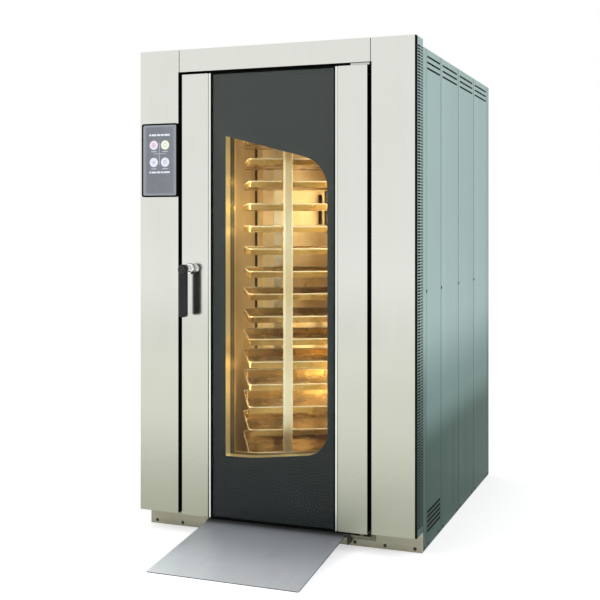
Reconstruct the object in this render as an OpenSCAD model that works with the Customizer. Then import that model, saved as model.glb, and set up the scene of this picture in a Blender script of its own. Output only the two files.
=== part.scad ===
// Rotating rack oven: an electric bakery oven for one trolley of baking trays.
// Millimetres. X runs to the right, Y to the back and Z up. The origin lies on the floor, on the
// axis that the trolley turns about. Static pieces are drawn with Y counted from the pillar fronts.

/* [Case] */
// Width over both front pillars
case_w = 1280; // [1260:10:1400]
// Depth from the pillar fronts to the rear panels
case_d = 1570; // [1560:5:1700]
// Height of the front frame
front_h = 2150; // [2140:5:2250]
// How far the roof lies below the top of the front frame
roof_drop = 32; // [20:1:36]
// Width of one front pillar
pillar_w = 194; // [185:1:200]
// Height of the header over the door
header_h = 100; // [90:1:110]
// Depth of the front frame
frame_d = 114; // [112:1:120]
// Height of the plinth
plinth_h = 84; // [80:1:100]
// How far the plinth stands behind the pillar fronts
plinth_back = 100; // [90:1:104]
// Thickness of the outer sheet metal
sheet = 3; // [2:0.5:3]
// Open seam between two outer panels
seam = 3; // [2:0.5:4]
// Inward step of the dark band behind the pillar fronts
band_step = 12; // [8:1:14]
// Depth of the dark band behind the pillar fronts
band_d = 15; // [10:1:18]

/* [Side panels] */
// Width of the corner strip next to the front frame
corner_strip_w = 52; // [45:1:60]
// Width of the first side panel
first_panel_w = 272; // [250:1:300]
// Width of the corner strip at the rear
rear_strip_w = 50; // [45:1:60]
// Number of equal side panels behind the first one
wide_panels = 3; // [2:1:4]
// Depth of the folded edges of a side panel
fold = 12; // [8:1:14]
// Height of the upper and lower vent slots
slot_h = 6; // [4:1:8]
// Drop of the highest vent slot below the roof
slot_drop = 31; // [25:1:40]
// Pitch of the three vent slots below the roof
slot_pitch = 25; // [20:1:30]
// Clear edge at each end of a vent slot
slot_edge = 30; // [15:1:40]
// Number of louvres at the foot of the first panel
louvres = 5; // [3:1:7]
// Height of the lowest louvre over the floor
louvre_z = 65; // [55:1:75]
// Pitch of the louvres
louvre_pitch = 20; // [16:1:24]
// Height of one louvre
louvre_h = 9; // [6:1:10]

/* [Vent strips] */
// Pitch of the fine slots in the vent strips
fine_pitch = 10; // [8:1:14]
// Height of one fine slot
fine_h = 5; // [3:0.5:6]
// Length of the fine slots
fine_long = 46; // [30:1:50]
// Clear height below the first and above the last fine slot
fine_edge = 32; // [20:1:60]

/* [Chamber] */
// Inner width of the baking chamber
chamber_w = 1000; // [990:5:1010]
// Distance from the pillar fronts to the trolley axis
rack_setback = 600; // [595:1:610]
// Distance from the pillar fronts to the fan baffle
baffle_y = 1090; // [1085:1:1120]
// Height of the chamber floor
floor_z = 60; // [58:1:64]
// Drop of the chamber ceiling below the roof
ceiling_drop = 88; // [82:1:98]
// Thickness of the chamber sheets
liner = 2; // [1.5:0.5:2.5]
// Clear depth of the plenum behind the baffle
plenum_d = 178; // [172:1:200]
// Thickness of the rear insulation
rear_wool = 80; // [60:1:90]
// Distance of the air outlet slots in front of the baffle
outlet_y = 70; // [60:1:90]
// Width of an air outlet slot
outlet_w = 40; // [30:1:50]
// Insulation between the side air ducts and the side panels
duct_wool = 49; // [40:1:75]
// Height of the lower end of the ducts
duct_z = 190; // [150:5:240]
// Distance of the upper end of the ducts below the ceiling
duct_top = 120; // [80:5:200]

/* [Door] */
// Gap at each side of the door
door_gap = 16; // [14:1:20]
// Gap over the door
door_top_gap = 12; // [10:1:16]
// Thickness of the door shell
door_t = 57; // [54:1:60]
// Width of one steel stile of the door
stile_w = 127; // [120:1:135]
// Distance of the hinge axis from the side of the opening
hinge_x = 46; // [45:1:50]
// Distance of the hinge axis behind the pillar fronts
hinge_y = 30; // [28:1:31]
// Radius of the hinge pins
hinge_pin_r = 8; // [6:0.5:10]
// Width of the groove beside the bright trim
groove_w = 6; // [4:1:8]
// Width of the bright trim strips
trim_w = 7; // [5:1:9]
// Width of the black glass seals
seal_w = 7; // [5:1:9]
// Thickness of the outer glass
glass_t = 6; // [5:0.5:6]
// Depth of the recess that takes the outer glass
glass_recess = 11; // [10.5:0.5:13]
// Clear height at the upper and lower edge of the glass
glass_edge = 5; // [3:1:8]
// How far the door overlaps its seat at each side
seat_overlap = 70; // [65:1:75]
// Distance of the seat land behind the pillar fronts
seat_y = 75; // [75:1:78]
// Drop of the seat opening below the ceiling
seat_drop = 25; // [20:1:40]
// Gap round the door plug inside the seat
plug_gap = 15; // [13:1:18]
// Depth of the door plug
plug_d = 58; // [50:1:62]
// Width of the rubber gasket
gasket_w = 12; // [10:0.5:12]
// Thickness of the inner glass
inner_glass_t = 5; // [4:0.5:6]
// Margin of the inner glass round the window
glass_margin = 15; // [10:1:25]

/* [Window] */
// Dark margin of the glass at the left of the window
margin_left = 62; // [43:1:83]
// Dark margin of the glass at the right of the window
margin_right = 31; // [27:1:48]
// Drop of the upper left corner below the top of the door
window_drop = 278; // [240:2:340]
// Drop of the upper edge from left to right
window_fall = 125; // [90:5:160]
// Height of the lower left corner
window_bottom = 358; // [340:2:400]
// Rise of the lower edge at the right
window_rise = 42; // [20:2:60]
// Place where the lower edge starts to rise
window_bend_x = -100; // [-130:5:-60]
// Radius of the upper right corner
window_top_r = 145; // [100:5:160]
// Radius of the lower right corner
window_bottom_r = 108; // [80:4:120]
// Radius where the lower edge starts to rise
window_bend_r = 900; // [400:50:1000]

/* [Handle] */
// Distance of the handle spindle from the edge of the door
handle_x = 40; // [38:1:42]
// Height of the handle spindle
handle_z = 1176; // [1000:2:1300]
// Distance of the grip in front of the door
grip_reach = 67; // [55:1:80]
// Length of the grip
grip_l = 230; // [180:5:260]
// Width of the grip
grip_w = 40; // [30:1:44]
// Thickness of the grip
grip_t = 25; // [18:1:30]
// Radius of the handle spindle
spindle_r = 8; // [6:0.5:10]
// Reach of the latch cam
cam_l = 52; // [50:1:54]
// Width of the latch cam
cam_w = 24; // [18:1:26]

/* [Control panel] */
// Width of the control panel
panel_w = 180; // [150:2:184]
// Height of the control panel
panel_h = 329; // [280:5:360]
// How far the control panel stands proud
panel_t = 10; // [8:1:24]
// Height of the lower edge of the control panel
panel_z = 1495; // [1300:5:1600]
// Distance of the control panel from the outer edge of the pillar
panel_x = 12; // [10:1:20]
// Width of the frame round the screen
panel_rim = 7; // [6:1:14]

/* [Ramp] */
// How far the ramp stays inside the door seat at each side
ramp_inset = 38; // [36:1:60]
// Length of the ramp plate in front of its hinge
ramp_l = 574; // [500:2:620]
// Thickness of the ramp plate
ramp_t = 3; // [2:0.5:4]
// Radius of the ramp hinge rod
ramp_rod_r = 5; // [4:0.5:6]
// Distance of the ramp hinge behind the pillar fronts
ramp_y = 56; // [54:1:58]

/* [Trolley] */
// Angle at which the trolley stands at rest
rack_angle = 27; // [0:1:45]
// Least room between the highest tray space and the ceiling
rack_room = 150; // [150:1:170]
// Height of the lowest tray
tray_z = 305; // [300:1:330]
// Pitch of the trays
tray_pitch = 103.3; // [90:0.1:104]
// Length of a tray
tray_l = 700; // [640:5:700]
// Width of a tray
tray_w = 500; // [460:5:500]
// Height of the tray rim
tray_h = 25; // [15:1:35]
// Thickness of the tray metal
tray_t = 1.5; // [1:0.1:2]
// Corner radius of a tray
tray_r = 25; // [15:1:35]
// Width of the trolley's angle posts
post_w = 40; // [30:1:44]
// Distance of the posts from the middle of the trolley
post_x = 175; // [150:5:200]
// Width of the square trolley tube
tube_w = 30; // [25:1:34]
// Radius of a castor wheel
wheel_r = 50; // [45:1:52]
// Width of a castor wheel
wheel_w = 30; // [24:1:32]
// Trail of a swivel castor
trail = 30; // [20:1:32]
// Distance of the castors from the middle, along the trolley
castor_x = 265; // [250:1:270]
// Distance of the castors from the middle, across the trolley
castor_y = 255; // [240:1:258]
// Radius of the turntable
table_r = 450; // [440:1:460]
// Thickness of the turntable
table_t = 4; // [3:0.5:5]

/* [Drive] */
// Module of the drive gears
gear_module = 4; // [3.8:0.1:4.2]
// Teeth of the large gear
gear_teeth = 60; // [58:1:61]
// Teeth of the pinion
pinion_teeth = 15; // [15:1:16]
// Width of the large gear
gear_w = 20; // [14:1:22]
// Radius of the trolley drive shaft
shaft_r = 20; // [16:1:22]
// Radius of the pinion shaft
pinion_shaft_r = 12; // [10:0.5:14]
// Height of the drive bearing on the roof
bearing_h = 82; // [82:1:88]
// Running clearance of every shaft, pin and axle
run_gap = 0.05; // [0.02:0.01:0.08]
// Axial gap between turning and fixed faces
face_gap = 0.3; // [0.2:0.05:0.5]

/* [Fan and heater] */
// Height of the fan axis
fan_z = 1450; // [1300:10:1550]
// Radius of the fan impeller
fan_r = 200; // [170:5:210]
// Width of the fan impeller
fan_w = 80; // [60:1:90]
// Radius of the fan shaft
fan_shaft_r = 14; // [10:1:16]
// Number of fan blades
fan_blades = 12; // [8:1:14]
// Radius of the motor body
motor_r = 95; // [80:1:100]
// Hairpin heaters at each side of the fan
hairpins = 4; // [3:1:4]
// Drop of the hairpin bends below the ceiling
heater_drop = 280; // [260:5:400]
// Radius of the heater tube
heater_r = 8; // [6:0.5:9]
// Pitch of the hairpins
heater_pitch = 50; // [44:1:52]

/* [Services] */
// Radius of the exhaust flue
flue_r = 75; // [60:1:80]
// Distance of the flue from the middle, to the left
flue_x = 280; // [240:5:300]
// Distance of the flue behind the trolley axis
flue_y = 300; // [280:5:330]
// Height of the flue over the roof
flue_h = 152; // [150:2:180]
// Length of the spigot that is swaged on the top of the flue
spigot_l = 60; // [50:2:64]
// Radius of the water inlet thread
inlet_r = 13.2; // [10:0.1:16]
// Height of the water inlet and of the cable gland
inlet_z = 260; // [200:5:320]
// Distance of the water inlet and of the cable gland from the middle
inlet_x = 380; // [340:5:400]

/* [Hidden] */
$fn = 48;
cut = 1;                                    // how far a cutting shape reaches past a face

// Case
half_w = case_w / 2;
skin = half_w - sheet;                      // inner face of the side panels
open_hw = half_w - pillar_w;                // half width of the door opening
open_top = front_h - header_h;
frame_hw = half_w - band_step;
pillar_z = plinth_h + seam;                 // foot of the pillars
roof_z = front_h - roof_drop;
base_h = floor_z - sheet;                   // top of the base rails
rail_w = 60;
pad_hw = 110;                               // half width of the pad under the turntable
strip_y = frame_d + corner_strip_w - seam;  // rear edge of the front corner strip
panel_y = frame_d + corner_strip_w;         // front edge of the first side panel
rear_strip_y = case_d - rear_strip_w + seam;
wide_y = panel_y + first_panel_w;           // front edge of the first wide panel
wide_w = (case_d - rear_strip_w - wide_y) / wide_panels;
bays = concat([[panel_y, wide_y - seam]],
    [for (i = [0 : wide_panels - 1]) [wide_y + i * wide_w, wide_y + (i + 1) * wide_w - seam]]);
panel_foot = 2;                             // height of the lower panel edges
rear_w = (case_w - 2 * seam) / 3;           // width of one rear panel
vent_y = sheet + band_d;                    // front edge of the vent strips
vent_end = frame_d - 4;
fine_rows = floor((front_h - sheet - pillar_z - 2 * fine_edge) / fine_pitch);

// Chamber
chamber_hw = chamber_w / 2;
ceiling_z = roof_z - ceiling_drop;
duct_w = skin - duct_wool - chamber_hw - liner;
plenum_y = baffle_y + liner + plenum_d;     // front face of the plenum wall
machine_y = plenum_y + liner + rear_wool;   // front face of the machine wall
outlet_y0 = baffle_y - outlet_y - outlet_w;
duct_y0 = outlet_y0 - 20;
duct_z1 = ceiling_z - duct_top;
duct_edge = 10;                             // land between a duct's end and its slots
seat_hw = open_hw - door_gap - seat_overlap;
seat_top = ceiling_z - seat_drop;
tongue_y = ramp_y + 10.5;                   // front edge of the threshold
wool_hw = skin - fold - 3;                  // outer face of the side insulation
lamp_heights = [650, 1450];
lamp_x = [seat_hw + 25, chamber_hw - 25];

// Door
door_hw = open_hw - door_gap;
door_z = plinth_h;
door_top = open_top - door_top_gap;
pivot_x = open_hw - hinge_x;
recess_hw = door_hw - stile_w;
trim_out = recess_hw - groove_w;
trim_in = trim_out - trim_w;
glass_hw = trim_in - seal_w;
mask_t = 1;
glass_y = glass_recess - mask_t - glass_t;
plug_hw = seat_hw - plug_gap;
notch_hw = plug_hw + 5;                     // half width of the plinth's notch for the threshold
plug_z = floor_z + 6;
plug_top = seat_top - plug_gap;
plug_y = door_t + plug_d;                   // rear face of the plug
bush_r = 14;
bush_l = 26;
hinge_plate = 7;
bracket_z = floor_z + 6;                    // underside of the lower hinge bracket
bracket_t = 6;
spindle_x = -(door_hw - handle_x);
cam_y = door_t + 2;
cam_t = 7;

window_left = -glass_hw + margin_left;
window_right = glass_hw - margin_right;
window_top = door_top - window_drop;
clip_z0 = window_bottom + window_rise + 100;
clip_z1 = window_top - window_fall - window_top_r + 10;

// Window corners, seen from the front: [x, z, corner radius]
window_corners = [
    [window_left, window_top, 0],
    [window_right, window_top - window_fall, window_top_r],
    [window_right, window_bottom + window_rise, window_bottom_r],
    [window_bend_x, window_bottom, window_bend_r],
    [window_left, window_bottom, 0]
];
arc_step = 6;                               // degrees for one chord of a rounded corner

// Ramp
ramp_hw = seat_hw - ramp_inset;
knuckle_r = ramp_rod_r + 4;
ramp_lift = knuckle_r - ramp_t;             // underside of the plate over the hinge axis
ramp_axis_z = floor_z - 0.5 - knuckle_r;
ramp_angle = asin((ramp_axis_z + ramp_lift) / ramp_l);
lug_t = 6;

// Trolley
trays_n = floor((ceiling_z - rack_room - tray_z) / tray_pitch);
table_z = floor_z + 6;                      // underside of the turntable
table_top = table_z + table_t;
hub_z = floor_z + 3;                        // top of the turntable bearing
axle_z = table_top + face_gap + wheel_r;
fork_top = axle_z + wheel_r + 6;            // underside of the fork crown
crown_t = 8;
rack_z = fork_top + crown_t + face_gap;     // underside of the castor plates
castor_plate = 6;
rail_z = rack_z + castor_plate;
runner_t = 2;
runner_y = tray_w / 2 + 3;                  // inner face of the upright runner leg
post_y = runner_y + runner_t;               // inner face of the posts
rack_top = tray_z + trays_n * tray_pitch + 5;
bar_t = 12;                                 // thickness of the drive bar on the trolley
bar_h = 70;
axle_r = 5;
kingpin_r = 6;
castors = [[-castor_x, -castor_y], [-castor_x, castor_y], [castor_x, -castor_y], [castor_x, castor_y]];

// Drive
gear_z = roof_z + bearing_h + face_gap + 6;
gear_r = gear_module * gear_teeth / 2;
pinion_r = gear_module * pinion_teeth / 2;
centre_d = gear_r + pinion_r;
gearbox_w = 120;
gearbox_top = roof_z + bearing_h + 2;
motor_axis_z = roof_z + 50;
yoke_z = rack_top + bar_h + 5;              // underside of the yoke hub

// Fan, heater and services
fan_y = baffle_y + liner + 58;              // front face of the impeller
heater_y = baffle_y + liner + 83;           // middle of the hairpins
heater_top = ceiling_z - heater_drop;
heater_x = fan_r + 50;
motor_y = machine_y + sheet;
motor_l = case_d - 2 * sheet - 27 - motor_y;
motor_bore = 0.55 * motor_l;
machine_d = case_d - sheet - machine_y;     // clear depth behind the machine wall
flue_t = 3;
flue_pipe_r = flue_r + 1;                   // the pipe below the spigot
flap_z = roof_z + 72;
flap_axle_r = 4;

// ---- shapes that several pieces share ----

// A box between two X, two Y and two Z planes
module block(x, y, z) {
    translate([x[0], y[0], z[0]]) cube([x[1] - x[0], y[1] - y[0], z[1] - z[0]]);
}

// An upright round bar
module bar_z(r, x, y, z) {
    translate([x, y, z[0]]) cylinder(r = r, h = z[1] - z[0]);
}

// A round bar along Y
module bar_y(r, x, z, y) {
    translate([x, y[0], z]) rotate([-90, 0, 0]) cylinder(r = r, h = y[1] - y[0]);
}

// A round bar along X
module bar_x(r, y, z, x) {
    translate([x[0], y, z]) rotate([0, 90, 0]) cylinder(r = r, h = x[1] - x[0]);
}

// A plate drawn in X and Z, from y to y + t
module front_plate(y, t) {
    translate([0, y + t, 0]) rotate([90, 0, 0]) linear_extrude(t) children();
}

// A plate drawn in Y and Z, from x to x + t
module side_plate(x, t) {
    translate([x, 0, 0]) rotate([90, 0, 90]) linear_extrude(t) children();
}

// Draws with Y counted from the pillar fronts
module from_front() {
    translate([0, -rack_setback, 0]) children();
}

// Draws a piece and its mirror image
module both_sides() {
    children();
    mirror([1, 0, 0]) children();
}

// Draws in the trolley's own directions, with its long side along X
module on_trolley() {
    rotate([0, 0, rack_angle]) children();
}

module rounded_rect(l, w, r) {
    square([l - 2 * r, w], center = true);
    square([l, w - 2 * r], center = true);
    for (x = [-1, 1], y = [-1, 1])
        translate([x * (l / 2 - r), y * (w / 2 - r)]) circle(r);
}

function unit(v) = v / norm(v);
function left_of(v) = [-v.y, v.x];

// The corners of a clockwise outline, moved out by g
function grown(c, g) = [
    for (i = [0 : len(c) - 1])
        let (p = [c[i].x, c[i].y],
             before = c[(i + len(c) - 1) % len(c)],
             after = c[(i + 1) % len(c)],
             n1 = left_of(unit(p - [before.x, before.y])),
             n2 = left_of(unit([after.x, after.y] - p)),
             q = p + g * (n1 + n2) / (1 + n1 * n2))
        [q.x, q.y, c[i][2] > 0 ? c[i][2] + g : 0]
];

// The chord points of one rounded corner of a clockwise outline
function corner_arc(p, before, after, r) =
    r == 0 ? [p] :
    let (u = unit(before - p),
         v = unit(after - p),
         angle = acos(u * v),
         middle = p + unit(u + v) * r / sin(angle / 2),
         start = p + u * r / tan(angle / 2) - middle,
         a = atan2(start.y, start.x),
         n = ceil((180 - angle) / arc_step))
    [for (k = [0 : n]) middle + r * [cos(a - k * (180 - angle) / n), sin(a - k * (180 - angle) / n)]];

// The window outline in X and Z, moved out by g
module window_shape(g) {
    c = grown(window_corners, g);
    n = len(c);
    polygon([
        for (i = [0 : n - 1])
            let (p = [c[i].x, c[i].y],
                 before = [c[(i + n - 1) % n].x, c[(i + n - 1) % n].y],
                 after = [c[(i + 1) % n].x, c[(i + 1) % n].y])
            each corner_arc(p, before, after, c[i][2])
    ]);
}

// ---- case ----

module base_frame() {
    color("dimgray") from_front() {
        // Angle rails along both sides, with the upright leg against the side panels
        both_sides() {
            block([skin - rail_w, skin], [frame_d + sheet, case_d - sheet], [0, sheet]);
            block([skin - sheet, skin], [frame_d + sheet, case_d - sheet], [0, base_h]);
        }
        // Cross rails at the front, both sides of the turntable and the rear
        for (y = [frame_d + sheet, rack_setback - pad_hw, rack_setback + pad_hw - sheet,
                  case_d - 2 * sheet])
            block([-skin, skin], [y, y + sheet], [0, base_h]);
        block([-pad_hw, pad_hw], [rack_setback - pad_hw, rack_setback + pad_hw], [0, sheet]);
    }
}

module plinth() {
    color("darkkhaki") from_front() {
        front_plate(plinth_back, sheet) difference() {
            translate([-half_w, 0]) square([case_w, plinth_h]);
            translate([-notch_hw, base_h - 3]) square([2 * notch_hw, plinth_h]);
        }
        both_sides() block([skin, half_w], [plinth_back, frame_d - seam], [0, plinth_h]);
        // Feet that fix the plinth to the front base rail
        for (x = [-0.8, -0.3, 0.3, 0.8])
            block([x * skin - 15, x * skin + 15], [plinth_back, frame_d + sheet], [0, sheet]);
    }
}

module front_frame() {
    color("#202422") from_front() difference() {
        block([-frame_hw, frame_hw], [sheet, frame_d], [pillar_z, front_h - sheet]);
        block([-open_hw - sheet, open_hw + sheet], [0, frame_d + cut], [0, open_top + sheet]);
        both_sides()
            block([open_hw + 2 * sheet, frame_hw - sheet], [2 * sheet, frame_d - sheet],
                [pillar_z - cut, front_h - 2 * sheet]);
        block([-frame_hw + sheet, frame_hw - sheet], [2 * sheet, frame_d - sheet],
            [open_top + 2 * sheet, front_h - 2 * sheet]);
    }
}

module front_covers() {
    color("#d6d7cf") from_front() {
        both_sides() {
            block([open_hw, half_w], [0, sheet], [pillar_z, front_h]);
            block([open_hw, open_hw + sheet], [0, frame_d], [pillar_z, front_h - header_h]);
            block([open_hw, half_w], [0, frame_d], [front_h - sheet, front_h]);
        }
        // Header over the door
        block([-open_hw + seam, open_hw - seam], [0, sheet], [open_top, front_h]);
        block([-open_hw + seam, open_hw - seam], [0, frame_d], [open_top, open_top + sheet]);
        block([-open_hw + seam, open_hw - seam], [0, frame_d], [front_h - sheet, front_h]);
    }
}

module vent_strips() {
    color("#8fa5a3") from_front() both_sides() {
        side_plate(skin, sheet) difference() {
            translate([vent_y, pillar_z]) square([vent_end - vent_y, front_h - sheet - pillar_z]);
            for (i = [0 : fine_rows])
                translate([vent_y + 6, pillar_z + fine_edge + i * fine_pitch]) square([fine_long, fine_h]);
        }
        for (y = [vent_y, vent_end - sheet])
            block([frame_hw, skin + sheet / 2], [y, y + sheet], [pillar_z, front_h - sheet]);
    }
}

module corner_strips() {
    color("#8fa5a3") from_front() both_sides() {
        block([skin, half_w], [frame_d, strip_y], [panel_foot, roof_z]);
        block([wool_hw + 1, skin + sheet / 2], [frame_d, frame_d + sheet], [floor_z, roof_z]);
        block([skin, half_w], [rear_strip_y, case_d - sheet], [panel_foot, roof_z]);
        block([skin - rail_w, skin + sheet / 2], [case_d - 2 * sheet, case_d - sheet], [floor_z, roof_z]);
    }
}

// One side panel: a slotted sheet with folded upright edges
module side_panel(bay, edge, foot_louvres) {
    side_plate(skin, sheet) difference() {
        translate([bay[0], panel_foot]) square([bay[1] - bay[0], roof_z - panel_foot]);
        for (i = [0 : 2])
            translate([bay[0] + edge, roof_z - slot_drop - i * slot_pitch - slot_h / 2])
                square([bay[1] - bay[0] - 2 * edge, slot_h]);
        if (foot_louvres)
            for (i = [0 : louvres - 1])
                translate([bay[0] + edge, louvre_z + i * louvre_pitch])
                    square([bay[1] - bay[0] - 2 * edge, louvre_h]);
    }
    for (y = [bay[0], bay[1] - sheet])
        block([skin - fold, skin + sheet / 2], [y, y + sheet], [floor_z, roof_z - sheet]);
}

module side_panels() {
    for (i = [0 : len(bays) - 1]) side_panel(bays[i], i == 0 ? slot_edge * 0.6 : slot_edge, i == 0);
}

module side_panels_left() {
    color("#8fa5a3") from_front() mirror([1, 0, 0]) side_panels();
}

module side_panels_right() {
    color("#8fa5a3") from_front() side_panels();
}

module rear_panels() {
    w = rear_w;
    color("#8fa5a3") from_front() for (i = [-1 : 1])
        front_plate(case_d - sheet, sheet) difference() {
            translate([i * (w + seam) - w / 2, panel_foot]) square([w, roof_z - panel_foot]);
            for (k = [0 : 2])
                translate([i * (w + seam) - w / 2 + slot_edge, roof_z - slot_drop - k * slot_pitch])
                    square([w - 2 * slot_edge, slot_h]);
            for (k = [0 : 9])
                translate([i * (w + seam) - w / 2 + slot_edge * 2, fan_z - 100 + k * louvre_pitch])
                    square([w - 4 * slot_edge, louvre_h]);
            // Holes for the water inlet and the cable gland
            if (i != 0) translate([i * inlet_x, inlet_z]) circle(inlet_r);
        }
}

module roof_panel() {
    color("#a9b2ae") difference() {
        from_front() block([-skin, skin], [frame_d + sheet, case_d - 2 * sheet], [roof_z - sheet, roof_z]);
        bar_z(shaft_r + 4, 0, 0, [roof_z - sheet - cut, roof_z + cut]);
        bar_z(flue_pipe_r, -flue_x, flue_y, [roof_z - sheet - cut, roof_z + cut]);
    }
}

module case_screws() {
    head_r = 5;
    head_h = 2;
    foot_z = 12;
    mid_z = front_h / 2 + 15;
    color("#3a3f3e") from_front() {
        for (x = [half_w - 295, half_w - 162, half_w - 32])
            both_sides() bar_y(head_r, x, 15, [plinth_back - head_h, plinth_back]);
        both_sides() {
            for (bay = bays) {
                for (y = [bay[0] + 40, bay[1] - 40])
                    bar_x(head_r, y, foot_z, [half_w, half_w + head_h]);
                bar_x(head_r, bay[0] + 8, mid_z, [half_w, half_w + head_h]);
            }
            bar_x(head_r, frame_d + 20, foot_z, [half_w, half_w + head_h]);
            bar_x(head_r, case_d - 42, foot_z, [half_w, half_w + head_h]);
            for (x = [rear_w / 2 - 22, rear_w / 2 + seam + 15, half_w - 25],
                 z = [foot_z, mid_z, roof_z - 15])
                bar_y(head_r, x, z, [case_d, case_d + head_h]);
        }
    }
}

// ---- chamber ----

module door_jamb() {
    color("#c9c3ac") from_front() {
        both_sides() {
            block([seat_hw, open_hw], [seat_y, seat_y + liner], [plinth_h, open_top]);
            block([seat_hw, seat_hw + liner], [seat_y, frame_d + liner], [plinth_h, seat_top + liner]);
            block([seat_hw, chamber_hw], [frame_d, frame_d + liner], [floor_z, ceiling_z + liner]);
        }
        block([-seat_hw, seat_hw], [seat_y, seat_y + liner], [seat_top, open_top]);
        block([-seat_hw, seat_hw], [seat_y, frame_d + liner], [seat_top, seat_top + liner]);
        block([-seat_hw, seat_hw], [frame_d, frame_d + liner], [seat_top, ceiling_z + liner]);
    }
}

// One side wall with its air duct: air leaves the plenum, turns in the duct and blows in at the slot
module chamber_wall() {
    side_plate(chamber_hw, liner) difference() {
        translate([frame_d, floor_z]) square([plenum_y + liner - frame_d, ceiling_z + liner - floor_z]);
        translate([outlet_y0, duct_z + duct_edge]) square([outlet_w, duct_z1 - duct_z - 2 * duct_edge]);
        translate([baffle_y + liner + 20, duct_z + duct_edge])
            square([plenum_d - 40, duct_z1 - duct_z - 2 * duct_edge]);
    }
    difference() {
        block([chamber_hw + liner / 2, chamber_hw + liner + duct_w], [duct_y0, plenum_y], [duct_z, duct_z1]);
        block([chamber_hw - cut, chamber_hw + duct_w], [duct_y0 + liner, plenum_y - liner],
            [duct_z + liner, duct_z1 - liner]);
    }
}

module chamber_walls() {
    color("#d9b25c") from_front() both_sides() chamber_wall();
}

module chamber_ceiling() {
    color("#d9b25c") difference() {
        from_front() block([-chamber_hw, chamber_hw], [frame_d + liner, plenum_y + liner],
            [ceiling_z, ceiling_z + liner]);
        bar_z(shaft_r + 6, 0, 0, [ceiling_z - cut, ceiling_z + liner + cut]);
        bar_z(flue_r - flue_t, -flue_x, flue_y, [ceiling_z - cut, ceiling_z + liner + cut]);
    }
}

module chamber_floor() {
    color("#b9ab86") difference() {
        from_front() {
            block([-chamber_hw - liner, chamber_hw + liner], [frame_d, plenum_y + liner], [base_h, floor_z]);
            block([-ramp_hw - 11, ramp_hw + 11], [tongue_y, frame_d + 1], [base_h, floor_z]);
        }
        bar_z(46, 0, 0, [base_h - cut, floor_z + cut]);
    }
}

module fan_baffle() {
    intake_r = fan_r - 15;
    bars = 5;
    pitch = intake_r / (bars + 0.5);
    color("#d9b25c") from_front() front_plate(baffle_y, liner) difference() {
        translate([-chamber_hw, floor_z]) square([chamber_w, ceiling_z - floor_z]);
        // The fan's intake: upright slots under a round outline
        for (i = [-bars : bars]) {
            h = sqrt(intake_r * intake_r - pow(i * pitch, 2));
            translate([i * pitch - pitch * 0.32, fan_z - h]) square([pitch * 0.64, 2 * h]);
        }
    }
}

module rear_walls() {
    color("#b4b3a6") from_front() {
        front_plate(plenum_y, liner) difference() {
            translate([-chamber_hw, floor_z]) square([chamber_w, ceiling_z - floor_z]);
            translate([0, fan_z]) circle(fan_shaft_r + 3);
            translate([-inlet_x, inlet_z]) circle(9);
        }
        // Machine wall, which carries the fan motor
        front_plate(machine_y, sheet) difference() {
            translate([-skin, floor_z]) square([2 * skin, roof_z - sheet - floor_z]);
            translate([0, fan_z]) circle(fan_shaft_r + 3);
            translate([-inlet_x, inlet_z]) circle(9);
        }
    }
}

module insulation() {
    color("#c8b98a") {
        from_front() {
            both_sides() difference() {
                block([chamber_hw + liner, wool_hw], [frame_d + sheet, machine_y], [floor_z, ceiling_z + liner]);
                block([chamber_hw, chamber_hw + liner + duct_w], [duct_y0, plenum_y], [duct_z, duct_z1]);
            }
            difference() {
                block([-chamber_hw, chamber_hw], [plenum_y + liner, machine_y], [floor_z, ceiling_z + liner]);
                bar_y(fan_shaft_r + 6, 0, fan_z, [plenum_y, machine_y + cut]);
                bar_y(9, -inlet_x, inlet_z, [plenum_y, machine_y + cut]);
            }
            // Under the floor, before and behind the turntable pad
            for (y = [[frame_d + 3 * sheet, rack_setback - pad_hw - 2],
                      [rack_setback + pad_hw + 2, plenum_y]])
                block([-chamber_hw, chamber_hw], y, [sheet, base_h]);
        }
        difference() {
            from_front() block([-wool_hw, wool_hw], [frame_d + sheet, machine_y],
                [ceiling_z + liner, roof_z - sheet]);
            bar_z(shaft_r + 8, 0, 0, [ceiling_z, roof_z]);
            bar_z(flue_pipe_r, -flue_x, flue_y, [ceiling_z, roof_z]);
        }
    }
}

// ---- heat, air and light ----

module heater_bank() {
    bend_r = 25;
    box_h = 50;
    half_l = (hairpins - 1) / 2 * heater_pitch + 25;
    middle = heater_x + (hairpins - 1) / 2 * heater_pitch;
    color("#6d6258") from_front() both_sides() {
        block([middle - half_l, middle + half_l], [heater_y - 42, heater_y + 42], [floor_z, floor_z + box_h]);
        for (i = [0 : hairpins - 1]) {
            x = heater_x + i * heater_pitch;
            for (y = [-bend_r, bend_r])
                bar_z(heater_r, x, heater_y + y, [floor_z + box_h - 5, heater_top]);
            translate([x, heater_y, heater_top]) rotate([90, 0, 90])
                rotate_extrude(angle = 180) translate([bend_r, 0]) circle(heater_r, $fn = 32);
        }
        // Strap that holds the hairpins to the plenum wall
        block([middle - half_l, middle + half_l], [heater_y + bend_r + heater_r, plenum_y],
            [heater_top - 60, heater_top - 40]);
    }
}

module fan_motor() {
    motor_end = motor_y + motor_l;
    color("#5d6b73") from_front() difference() {
        union() {
            bar_y(motor_r + 30, 0, fan_z, [motor_y, motor_y + 12]);
            bar_y(motor_r - 8, 0, fan_z, [motor_y, motor_end]);
            // Cooling fins round the body
            for (i = [0 : 1 : floor((motor_l - 78) / 16)])
                bar_y(motor_r, 0, fan_z, [motor_y + 26 + i * 16, motor_y + 32 + i * 16]);
            bar_y(motor_r, 0, fan_z, [motor_end - 24, motor_end]);
            block([-45, 45], [motor_y + motor_l / 6, motor_y + motor_l * 2 / 3],
                [fan_z, fan_z + motor_r + 25]);
        }
        bar_y(fan_shaft_r + run_gap, 0, fan_z, [motor_y - cut, motor_y + motor_bore]);
    }
}

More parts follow.
